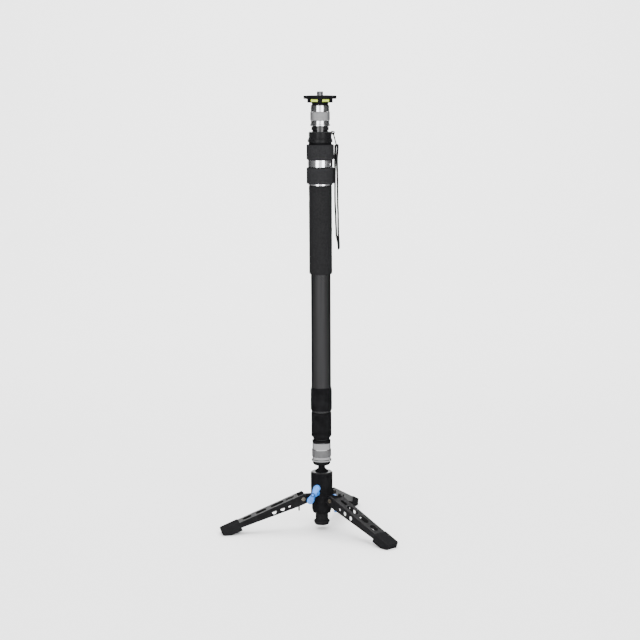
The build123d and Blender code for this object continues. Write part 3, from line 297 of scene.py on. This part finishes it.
def carbon_weave(name, colour, tows=40, tow=2.4 * MM):
    """Twill of carbon tows in dull resin, wrapped round the column."""
    streak_scale = (900, 900, 14)
    material, tree, shader, coords = new_finish(name, colour, 0.36, 0.8)
    shader.inputs["Specular IOR Level"].default_value = 0.0
    shader.inputs["Specular Tint"].default_value = (0.0, 0.0, 0.0, 1.0)
    angle, height = round_column(tree, coords)
    across = math_node(tree, "MULTIPLY", angle, tows / (2 * math.pi))
    along = math_node(tree, "DIVIDE", height, tow)
    slant = math_node(tree, "ADD", across, along)
    twill = math_node(tree, "PINGPONG", slant, 1.0)
    weft = math_node(tree, "PINGPONG", math_node(tree, "MULTIPLY", along, 2.0), 1.0)
    warp = math_node(tree, "PINGPONG", math_node(tree, "MULTIPLY", across, 2.0), 1.0)
    over = math_node(tree, "GREATER_THAN", twill, 0.5)
    under = math_node(tree, "SUBTRACT", 1.0, over)
    tows_height = math_node(
        tree, "ADD", math_node(tree, "MULTIPLY", weft, over), math_node(tree, "MULTIPLY", warp, under)
    )
    streaks = noise(tree, stretched(tree, coords, streak_scale), 1.0, 3.0)
    tone = math_node(
        tree, "ADD", math_node(tree, "MULTIPLY", twill, 0.55), math_node(tree, "MULTIPLY", streaks, 0.5)
    )
    shade(tree, shader, tone, toned(colour, 0.4), toned(colour, 1.9), 0.2, 0.85)
    bump(tree, shader, tows_height, 0.12, 0.05 * MM)
    return material


def webbing(name, colour):
    """Close diagonal weave of the strap."""
    rows_up, rows_across = 1150.0, 1500.0
    material, tree, shader, coords = new_finish(name, colour, 0.72)
    shader.inputs["Specular IOR Level"].default_value = 0.0
    parts = tree.nodes.new("ShaderNodeSeparateXYZ")
    tree.links.new(coords, parts.inputs["Vector"])
    rise = math_node(tree, "MULTIPLY", parts.outputs["Z"], rows_up)
    side = math_node(tree, "MULTIPLY", parts.outputs["Y"], rows_across)
    leaning_right, leaning_left = (
        math_node(tree, "SINE", math_node(tree, "MULTIPLY", math_node(tree, operation, rise, side), math.pi))
        for operation in ("ADD", "SUBTRACT")
    )
    weave = math_node(tree, "MAXIMUM", leaning_right, leaning_left)
    shade(tree, shader, weave, toned(colour, 0.5), toned(colour, 1.8), 0.1, 0.95)
    bump(tree, shader, weave, 0.6, 0.15 * MM)
    return material


def spirit(name, colour):
    """Liquid in the glass of a level, made to glow faintly as painted light."""
    material, tree, shader, coords = new_finish(name, colour, 0.08)
    shade(tree, shader, noise(tree, coords, 300), toned(colour, 0.8), toned(colour, 1.25))
    shader.inputs["Transmission Weight"].default_value = 0.35
    # Painted light: the liquid glows faintly in its own colour.
    shader.inputs["Emission Color"].default_value = (*colour, 1.0)
    shader.inputs["Emission Strength"].default_value = 0.25
    shader.inputs["Coat Weight"].default_value = 0.8
    return material


def paint(finish, *nodes):
    """Give CAD nodes a finish."""
    for name in nodes:
        for entry in NODES[name].material_slots:
            entry.material = finish


class MONOPOD_OT_camera(bpy.types.Operator):
    """Set the camera at the usual viewing angle"""

    bl_idname = "monopod.camera"
    bl_label = "Camera"

    def execute(self, context):
        distance, height = sizes().camera_distance, sizes().camera_height
        pitch, roll, aside = math.radians(8.9346), math.radians(0.26), 0.5 * MM
        focal_length, sensor_width, farthest = 101.9, 36, 60
        bpy.ops.object.camera_add(
            location=(aside, -distance, height), rotation=(math.pi / 2 - pitch, roll, 0)
        )
        camera = context.object
        camera.name = "camera"
        camera.data.lens = focal_length
        camera.data.sensor_width = sensor_width
        camera.data.clip_end = farthest
        context.scene.camera = camera
        return {"FINISHED"}


def select_edges(piece, wanted):
    """Select the edges with both ends where a test holds."""
    for edge in piece.data.edges:
        edge.select = all(wanted(piece.data.vertices[v].co) for v in edge.vertices)


def lay_floor():
    """Pale floor that curves up into a backdrop."""
    width, front, back, wall, sweep, back_share = 14.0, 6.0, 5.0, 7.0, 2.0, 0.43
    near = 0.01
    tone, palest, darkest = 0.86, 0.865, 0.855
    deselect()
    bpy.ops.mesh.primitive_plane_add(size=1)
    floor = bpy.context.object
    floor.name = "floor"
    bpy.ops.object.mode_set(mode="EDIT")
    bpy.ops.transform.resize(value=(width, front + back, 1))
    bpy.ops.transform.translate(value=(0, (back - front) / 2, 0))
    bpy.ops.mesh.select_all(action="DESELECT")
    bpy.ops.object.mode_set(mode="OBJECT")
    select_edges(floor, lambda end: end.y > back - near)
    bpy.ops.object.mode_set(mode="EDIT")
    bpy.ops.mesh.select_mode(type="EDGE")
    bpy.ops.transform.resize(value=(back_share, 1, 1))
    bpy.ops.mesh.extrude_region_move(TRANSFORM_OT_translate={"value": (0, 0, wall)})
    bpy.ops.object.mode_set(mode="OBJECT")
    select_edges(floor, lambda end: end.y > back - near and end.z < near)
    bpy.ops.object.mode_set(mode="EDIT")
    bpy.ops.mesh.bevel(offset=sweep, segments=24, affect="EDGES")
    bpy.ops.mesh.select_all(action="SELECT")
    bpy.ops.mesh.normals_make_consistent(inside=False)
    bpy.ops.object.mode_set(mode="OBJECT")
    bpy.ops.object.shade_smooth()
    bpy.ops.object.transform_apply(location=True, rotation=True, scale=True)
    material, tree, shader, coords = new_finish("stage_white", (tone, tone, tone), 0.9)
    shade(tree, shader, noise(tree, coords, 2), (darkest,) * 3, (palest,) * 3)
    floor.data.materials.append(material)


def light_stage(scene):
    """Dim room with soft boxes round the object and a wash on the backdrop."""
    room_strength = 0.1
    world = scene.world or bpy.data.worlds.new("studio")
    scene.world = world
    world.use_nodes = True
    background = world.node_tree.nodes["Background"]
    background.inputs["Color"].default_value = (1, 1, 1, 1)
    background.inputs["Strength"].default_value = room_strength
    on_object, on_wall = Vector((0, 0, 0.4)), Vector((0, 6.5, 1.2))
    # Name, place, width and height in metres, power in watts, aim
    lights = (
        ("front_box", (0.0, -4.1, 1.7), (2.6, 3.0), 85, on_object),
        ("left_box", (-1.9, -3.6, 1.6), (1.9, 3.0), 190, on_object),
        ("right_box", (1.9, -3.6, 1.6), (1.9, 3.0), 190, on_object),
        ("top_box", (0.0, 0.4, 3.8), (5.0, 5.0), 560, on_object),
        ("back_wash", (0.0, 2.6, 4.2), (5.0, 1.5), 430, on_wall),
    )
    for name, spot, (wide, tall), power, target in lights:
        aim = target - Vector(spot)
        bpy.ops.object.light_add(type="AREA", location=spot, rotation=aim.to_track_quat("-Z", "Y").to_euler())
        light = bpy.context.object
        light.name = name
        light.data.shape = "RECTANGLE"
        light.data.size = wide
        light.data.size_y = tall
        light.data.energy = power


class MONOPOD_OT_stage(bpy.types.Operator):
    """Lay the pale floor with its curved backdrop and hang the soft lights"""

    bl_idname = "monopod.stage"
    bl_label = "Stage"

    def execute(self, context):
        lay_floor()
        light_stage(context.scene)
        return {"FINISHED"}


class MONOPOD_OT_metal(bpy.types.Operator):
    """Finish the metal pieces"""

    bl_idname = "monopod.metal"
    bl_label = "Metal finishes"

    def execute(self, context):
        hues = colours()
        paint(
            anodised("black_anodised", hues.black), "leg_hub", "ball_body", "ball_stem", "ball_tension_screw",
            "stem_spigot", "lower_end_ring", "middle_collar", "outer_collar", "head_sleeve", "plate_hub",
            "top_plate", "strap_ring",
        )
        paint(anodised("black_polished", hues.black, 0.12, 0.35), "upper_coupling_core")
        paint(anodised("black_satin", hues.black, 0.28, 0.06), "head_cap", "ball_retaining_ring")
        paint(
            anodised("black_legs", hues.black, 0.34, 0.03), "leg_channel_1", "leg_channel_2", "leg_channel_3"
        )
        paint(turned("turned_gunmetal", hues.gunmetal, 0.16), "upper_release_collar")
        # The lower collar gets a darker copy of the upper collar's metal as painted shade.
        paint(turned("turned_gunmetal_lower_painted_shade", toned(hues.gunmetal, 0.36), 0.16), "lower_release_collar")
        paint(turned("pin_steel", (0.09, 0.08, 0.065), 0.4), "hinge_pins")
        paint(
            turned("turned_silver", hues.silver), "index_band", "grip_end_ring",
            "lower_coupling_core", "ball_cup", "ball_lock_ring", "drive_tube", "drive_rod",
        )
        paint(
            turned("plain_steel", toned(hues.silver, 0.8), 0.3), "foot_stem",
            "lower_detent_balls", "upper_detent_balls", "lower_release_spring", "upper_release_spring",
        )
        paint(turned("screw_steel", toned(hues.silver, 0.15), 0.3), "camera_screw")
        paint(turned("brass", hues.brass, 0.3), "leg_stop_screws", "spindle_bushes", "pan_brake_shoe")
        paint(anodised("blue_anodised", hues.blue, 0.28, 0.5), "ball_lock_knob", "pan_lock_knob")
        return {"FINISHED"}


class MONOPOD_OT_soft_finish(bpy.types.Operator):
    """Finish the rubber, plastic, carbon and level pieces"""

    bl_idname = "monopod.soft_finish"
    bl_label = "Rubber, plastic and carbon finishes"

    def execute(self, context):
        hues = colours()
        paint(rubber("boot_rubber", hues.rubber), "foot_boot_1", "foot_boot_2", "foot_boot_3", "foot_pad")
        paint(
            rubber("collar_rubber", toned(hues.rubber, 1.6), 700, 0.12 * MM, 0.5),
            "twist_collar", "fixed_grip_ring",
        )
        paint(
            rubber("nylon", (0.012, 0.012, 0.013), 500, 0.03 * MM, 0.45), "middle_bush", "outer_bush",
            "lower_lock_carrier", "middle_lock_carrier", "lower_lock_shoes", "middle_lock_shoes",
            "lower_lock_cam", "middle_lock_cam", "drive_spider",
        )
        paint(carbon_weave("carbon_weave", hues.carbon), "lower_tube", "middle_tube", "outer_tube")
        paint(spirit("level_spirit_painted_glow", hues.vial), "level_vials")
        return {"FINISHED"}


def open_ends(piece, wall):
    """Turn a capped cylinder into a ring with a wall."""
    bpy.ops.object.mode_set(mode="EDIT")
    bpy.ops.mesh.select_mode(type="FACE")
    bpy.ops.mesh.select_all(action="DESELECT")
    bpy.ops.object.mode_set(mode="OBJECT")
    for face in piece.data.polygons:
        face.select = abs(face.normal.z) > LEVEL
    bpy.ops.object.mode_set(mode="EDIT")
    bpy.ops.mesh.inset(thickness=wall, use_individual=True)
    bpy.ops.mesh.bridge_edge_loops()
    bpy.ops.mesh.select_all(action="DESELECT")
    bpy.ops.object.mode_set(mode="OBJECT")


def ease_rims(piece, beyond, edge_size, lowest_only=False):
    """Round the edges of a ring's ends that lie beyond a radius."""
    half = max(vertex.co.z for vertex in piece.data.vertices)
    for edge in piece.data.edges:
        ends = [piece.data.vertices[v].co for v in edge.vertices]
        at_end = all(abs(abs(end.z) - half) < CLOSE and end.xy.length > beyond for end in ends)
        edge.select = at_end and not (lowest_only and ends[0].z > 0)
    bpy.ops.object.mode_set(mode="EDIT")
    bpy.ops.mesh.select_mode(type="EDGE")
    bpy.ops.mesh.bevel(offset=edge_size, segments=5, affect="EDGES")
    bpy.ops.mesh.select_all(action="SELECT")
    bpy.ops.mesh.normals_make_consistent(inside=False)
    bpy.ops.object.mode_set(mode="OBJECT")
    bpy.ops.object.shade_smooth_by_angle(angle=math.radians(40))


class MONOPOD_OT_foam_grip(bpy.types.Operator):
    """Model the foam grip"""

    bl_idname = "monopod.foam_grip"
    bl_label = "Foam grip"

    def execute(self, context):
        bottom, top = low("foam_grip"), high("foam_grip")
        outside = high("foam_grip", 0)
        inside = high("outer_tube", 0) + 0.05 * MM
        deselect()
        bpy.ops.mesh.primitive_cylinder_add(
            vertices=96, radius=outside, depth=top - bottom, end_fill_type="NGON",
            location=(0, 0, (bottom + top) / 2),
        )
        grip = context.object
        open_ends(grip, outside - inside)
        ease_rims(grip, (inside + outside) / 2, sizes().foam_edge)
        finish = rubber("grip_foam", colours().foam, 1400, 0.25 * MM, 0.78)
        place(grip, "grip_foam", "outer_section", finish, ["foam_grip"])
        return {"FINISHED"}


def ridged_band(name, body, finish, bottom, top, radius, teeth, depth):
    """Ring of fine upright ridges, closed over its CAD seat."""
    wall, ridge_zone = 1.2 * MM, 0.6 * MM
    deselect()
    bpy.ops.mesh.primitive_cylinder_add(
        vertices=teeth * 2, radius=radius, depth=top - bottom, end_fill_type="NGON",
        location=(0, 0, (bottom + top) / 2),
    )
    band = bpy.context.object
    open_ends(band, wall)
    for vertex in band.data.vertices:
        number = round(math.atan2(vertex.co.y, vertex.co.x) / math.pi * teeth)
        vertex.select = number % 2 == 0 and vertex.co.xy.length > radius - ridge_zone
    bpy.ops.object.mode_set(mode="EDIT")
    bpy.ops.mesh.select_mode(type="VERT")
    shrink = (radius - depth) / radius
    bpy.ops.transform.resize(value=(shrink, shrink, 1))
    bpy.ops.mesh.select_all(action="SELECT")
    bpy.ops.mesh.normals_make_consistent(inside=False)
    bpy.ops.object.mode_set(mode="OBJECT")
    return place(band, name, body, finish)


class MONOPOD_OT_knurls(bpy.types.Operator):
    """Model the knurled bands of both release collars"""

    bl_idname = "monopod.knurls"
    bl_label = "Knurls"

    def execute(self, context):
        seat, ease = 15.55 * MM, 0.7 * MM
        # Coupling, rise from the collar's foot, height, tone; the tone darkens the collar's metal as painted
        # shade, more on the lower band
        bands = (("lower", 7.7 * MM, 12.6 * MM, 0.19), ("upper", 8.5 * MM, 14.7 * MM, 0.33))
        for where, rise, tall, tone in bands:
            bottom = low(f"{where}_release_collar") + rise
            finish = turned(f"{where}_knurled_gunmetal_painted_shade", toned(colours().gunmetal, tone), 0.5)
            ridged_band(
                f"{where}_knurl", f"{where}_release", finish, bottom + ease,
                bottom + tall - ease, seat + sizes().knurl_depth, sizes().knurl_teeth, sizes().knurl_depth,
            )
        return {"FINISHED"}


def strap_path(bar, length):
    """Closed run of the webbing over the ring's bar, down, round the tip and up again."""
    wrap, wrap_steps, run_steps = 1.9 * MM, 8, 4
    # Share of the length below the bar, distance from the column's axis in millimetres
    outer = ((0.02, 28.1), (0.12, 26.8), (0.38, 27.6), (0.54, 27.7), (0.68, 28.4), (0.84, 28.7), (0.96, 29.8))
    tip = ((0.995, 29.9), (1.0, 29.3), (0.995, 28.9))
    inner = ((0.96, 28.4), (0.84, 25.3), (0.68, 24.5), (0.54, 23.5), (0.38, 23.5), (0.12, 23.6), (0.02, 24.3))
    path = []
    for step in range(wrap_steps + 1):
        angle = math.pi - math.pi * step / wrap_steps
        path.append(bar + wrap * Vector((math.cos(angle), math.sin(angle))))
    for side in (outer, tip, inner):
        for (share, out), (next_share, next_out) in zip(side, side[1:]):
            for step in range(run_steps):
                part = step / run_steps
                soft = part * part * (3 - 2 * part)
                height = bar.y - length * (share + (next_share - share) * part)
                path.append(Vector(((out + (next_out - out) * soft) * MM, height)))
        path.append(Vector((side[-1][1] * MM, bar.y - length * side[-1][0])))
    return path


class MONOPOD_OT_strap(bpy.types.Operator):
    """Model the wrist strap as a closed loop of webbing"""

    bl_idname = "monopod.strap"
    bl_label = "Wrist strap"

    def execute(self, context):
        bar_out, bar_below_top, tip_rise = 26.2 * MM, 2.9 * MM, 0.8 * MM
        lean, more_at_top, top_share = 0.8 * MM, 0.4 * MM, 0.4
        steps, selvedge = 6, 0.3 * MM
        corner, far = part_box("wrist_strap")
        half_width = (far.y - corner.y) / 2
        bar = Vector((bar_out, far.z - bar_below_top))
        length = bar.y - corner.z - tip_rise
        path = strap_path(bar, length)
        deselect()
        bpy.ops.mesh.primitive_circle_add(vertices=len(path), radius=MM, fill_type="NOTHING")
        strap = context.object
        for vertex, spot in zip(strap.data.vertices, path):
            vertex.co = (spot.x, -half_width, spot.y)
        bpy.ops.object.mode_set(mode="EDIT")
        bpy.ops.mesh.select_all(action="SELECT")
        for step in range(steps):
            bpy.ops.mesh.extrude_region_move(TRANSFORM_OT_translate={"value": (0, 2 * half_width / steps, 0)})
        bpy.ops.mesh.select_all(action="SELECT")
        bpy.ops.mesh.normals_make_consistent(inside=False)
        bpy.ops.object.mode_set(mode="OBJECT")
        for vertex in strap.data.vertices:
            share = min(1.0, max(0.0, (bar.y - vertex.co.z) / length))
            twist = lean + more_at_top * max(0.0, 1 - share / top_share)
            vertex.co.x += twist * vertex.co.y / half_width
        solid = strap.modifiers.new("webbing", "SOLIDIFY")
        solid.thickness = sizes().strap_thickness
        solid.offset = 0
        edge = strap.modifiers.new("edge", "BEVEL")
        edge.width = selvedge
        edge.segments = 2
        bpy.ops.object.modifier_apply(modifier="webbing")
        bpy.ops.object.modifier_apply(modifier="edge")
        bpy.ops.object.shade_smooth_by_angle(angle=math.radians(40))
        weave = webbing("strap_weave", colours().webbing)
        place(strap, "strap_webbing", "strap", weave, ["wrist_strap"])
        return {"FINISHED"}


def toward(azimuth):
    """Unit vector out from the column at an azimuth in degrees."""
    turn = math.radians(azimuth)
    return Vector((math.cos(turn), math.sin(turn), 0.0))


def block(name, body, finish, centre, size, azimuth, fall=0.0):
    """Small box with eased edges, turned to an azimuth and tipped down by an angle."""
    ease = 0.2 * MM
    deselect()
    bpy.ops.mesh.primitive_cube_add(size=1, location=centre, rotation=(0, fall, math.radians(azimuth)))
    piece = bpy.context.object
    bpy.ops.object.mode_set(mode="EDIT")
    bpy.ops.transform.resize(value=size, orient_type="LOCAL")
    bpy.ops.mesh.bevel(offset=ease, segments=2, affect="EDGES")
    bpy.ops.object.mode_set(mode="OBJECT")
    return place(piece, name, body, finish)


def upper_face(node):
    """Middle and normal of a node's upper faces."""
    steepest = 0.85
    middle, normal, total = Vector(), Vector(), 0.0
    for face in NODES[node].data.polygons:
        if face.normal.z > steepest:
            middle += face.center * face.area
            normal += face.normal * face.area
            total += face.area
    return NODES[node].matrix_world @ (middle / total), normal.normalized()


class MONOPOD_OT_plate_rim(bpy.types.Operator):
    """Model the deep rim under the top plate"""

    bl_idname = "monopod.plate_rim"
    bl_label = "Plate rim"

    def execute(self, context):
        deep, lap, step_in, gap, edge_size = 1.9 * MM, 0.3 * MM, 0.3 * MM, 0.05 * MM, 1.0 * MM
        outside = high("top_plate", 0) - step_in
        inside = high("plate_hub", 0) + gap
        deselect()
        bpy.ops.mesh.primitive_cylinder_add(
            vertices=96, radius=outside, depth=deep + lap, end_fill_type="NGON",
            location=(0, 0, low("top_plate") + (lap - deep) / 2),
        )
        rim = context.object
        open_ends(rim, outside - inside)
        ease_rims(rim, (inside + outside) / 2, edge_size, lowest_only=True)
        place(rim, "plate_rim", "outer_section", anodised("rim_black", colours().black))
        return {"FINISHED"}


def index_mark(finish):
    """White block on the silver band."""
    size, below_middle = (0.8 * MM, 1.8 * MM, 3.0 * MM), 1.0 * MM
    spot = toward(INDEX_AZIMUTH) * high("index_band", 0)
    spot.z = (low("index_band") + high("index_band")) / 2 - below_middle
    block("index_mark", "outer_section", finish, spot, size, INDEX_AZIMUTH)


def leg_catch(number, azimuth, finish):
    """Tab under a leg, near its hinge."""
    out, aside, height = 40.3 * MM, 10.4 * MM, 40.0 * MM
    size = (2.4 * MM, 2.0 * MM, 10.0 * MM)
    spot = toward(azimuth) * out + toward(azimuth + 90.0) * aside + Vector((0, 0, height))
    block(f"leg_catch_{number}", f"leg_{number}", finish, spot, size, azimuth)


def boot_ribs(number, azimuth, finish):
    """Three ribs along the rubber of a boot's top."""
    size, spacing, inward = (15.0 * MM, 1.5 * MM, 1.2 * MM), 3.6 * MM, 3.0 * MM
    out, side = toward(azimuth), toward(azimuth + 90.0)
    middle, normal = upper_face(f"foot_boot_{number}")
    fall = math.atan2(normal.dot(out), normal.z)
    along = (out * math.cos(fall) - Vector((0, 0, math.sin(fall)))).normalized()
    for row in (-1, 0, 1):
        spot = middle + side * row * spacing - along * inward
        name = f"boot_rib_{number}_{row + 2}"
        block(name, f"leg_{number}", finish, spot, size, azimuth, fall)


def screw_ring(node, body, azimuth, radius, finish):
    """Dark ring round the boss of a wing screw, a painted shade line."""
    thickness = 0.65 * MM
    out, knob = toward(azimuth), NODES[node]
    spot = out * max((knob.matrix_world @ vertex.co).dot(out) for vertex in knob.data.vertices)
    spot.z = (low(node) + high(node)) / 2
    deselect()
    bpy.ops.mesh.primitive_torus_add(
        location=spot, rotation=out.to_track_quat("Z", "Y").to_euler(),
        major_radius=radius, minor_radius=thickness, major_segments=48, minor_segments=10,
    )
    bpy.ops.object.shade_smooth()
    place(bpy.context.object, f"{body}_ring", body, finish)


class MONOPOD_OT_details(bpy.types.Operator):
    """Model the index mark, the leg catches, the boot ribs in lighter rubber as painted highlight and the
    dark rings of the wing screws as painted shade
    """

    bl_idname = "monopod.details"
    bl_label = "Small details"

    def execute(self, context):
        hues = colours()
        index_mark(anodised("index_white", (0.6, 0.6, 0.6)))
        # The boot ribs get a lighter copy of the boot rubber as painted highlight.
        black, rib_highlight_rubber = anodised("catch_black", hues.black), rubber("rib_rubber_painted_highlight", toned(hues.rubber, 2.2))
        for number, azimuth in enumerate(LEG_AZIMUTHS, start=1):
            leg_catch(number, azimuth, black)
            boot_ribs(number, azimuth, rib_highlight_rubber)
        # A far darker copy of the knobs' blue, painted shade round their bosses.
        blue_painted_shade = anodised("blue_painted_shade", toned(hues.blue, 0.14), 0.3, 0.1)
        screw_ring("ball_lock_knob", "ball_lock", BALL_LOCK_AZIMUTH, 2.9 * MM, blue_painted_shade)
        screw_ring("pan_lock_knob", "pan_lock", PAN_LOCK_AZIMUTH, 2.4 * MM, blue_painted_shade)
        return {"FINISHED"}


class MONOPOD_OT_camera_thread(bpy.types.Operator):
    """Cut the thread of the camera screw"""

    bl_idname = "monopod.camera_thread"
    bl_label = "Camera thread"

    def execute(self, context):
        bottom, top = high("top_plate"), high("camera_screw")
        radius, lead_in, crest = 4.76 * MM, 0.5 * MM, 1.03
        rows = 2 * int((top - bottom) / sizes().thread_pitch)
        deselect()
        bpy.ops.mesh.primitive_cylinder_add(
            vertices=48, radius=radius, depth=top - bottom - lead_in, end_fill_type="NGON",
            location=(0, 0, (bottom + top) / 2),
        )
        thread = context.object
        bpy.ops.object.mode_set(mode="EDIT")
        for row in range(1, rows):
            height = bottom + (top - bottom) * row / rows
            bpy.ops.mesh.select_all(action="SELECT")
            bpy.ops.mesh.bisect(plane_co=(0, 0, height), plane_no=(0, 0, 1))
        bpy.ops.mesh.select_all(action="DESELECT")
        bpy.ops.object.mode_set(mode="OBJECT")
        middle = (bottom + top) / 2
        for vertex in thread.data.vertices:
            row = round((vertex.co.z + middle - bottom) / (top - bottom) * rows)
            vertex.select = row % 2 == 0
        bpy.ops.object.mode_set(mode="EDIT")
        bpy.ops.mesh.select_mode(type="VERT")
        bpy.ops.transform.resize(value=(crest, crest, 1))
        bpy.ops.mesh.select_all(action="SELECT")
        bpy.ops.mesh.normals_make_consistent(inside=False)
        bpy.ops.object.mode_set(mode="OBJECT")
        finish = turned("thread_steel", toned(colours().silver, 0.15), 0.35)
        place(thread, "camera_thread", "outer_section", finish)
        return {"FINISHED"}


class MONOPOD_PT_panel(bpy.types.Panel):
    """Sidebar panel of the monopod"""

    bl_label = "Monopod"
    bl_idname = "MONOPOD_PT_panel"
    bl_space_type = "VIEW_3D"
    bl_region_type = "UI"
    bl_category = "Monopod"

    def draw(self, context):
        layout = self.layout
        for group in (sizes(), colours()):
            for name in group.__annotations__:
                layout.prop(group, name)
        for operator in OPERATORS:
            layout.operator(operator.bl_idname)


OPERATORS = (
    MONOPOD_OT_camera,
    MONOPOD_OT_stage,
    MONOPOD_OT_metal,
    MONOPOD_OT_soft_finish,
    MONOPOD_OT_foam_grip,
    MONOPOD_OT_knurls,
    MONOPOD_OT_strap,
    MONOPOD_OT_camera_thread,
    MONOPOD_OT_plate_rim,
    MONOPOD_OT_details,
)
CLASSES = (MonopodSizes, MonopodColours, *OPERATORS, MONOPOD_PT_panel)


def register():
    for entry in CLASSES:
        bpy.utils.register_class(entry)
    bpy.types.Scene.monopod_sizes = PointerProperty(type=MonopodSizes)
    bpy.types.Scene.monopod_colours = PointerProperty(type=MonopodColours)


def unregister():
    del bpy.types.Scene.monopod_sizes
    del bpy.types.Scene.monopod_colours
    for entry in reversed(CLASSES):
        bpy.utils.unregister_class(entry)


def main():
    register()
    for operator in OPERATORS:
        group, name = operator.bl_idname.split(".")
        result = getattr(getattr(bpy.ops, group), name)()
        if result != {"FINISHED"}:
            raise RuntimeError(f"{operator.bl_label} didn't finish")


if __name__ == "__main__":
    main()
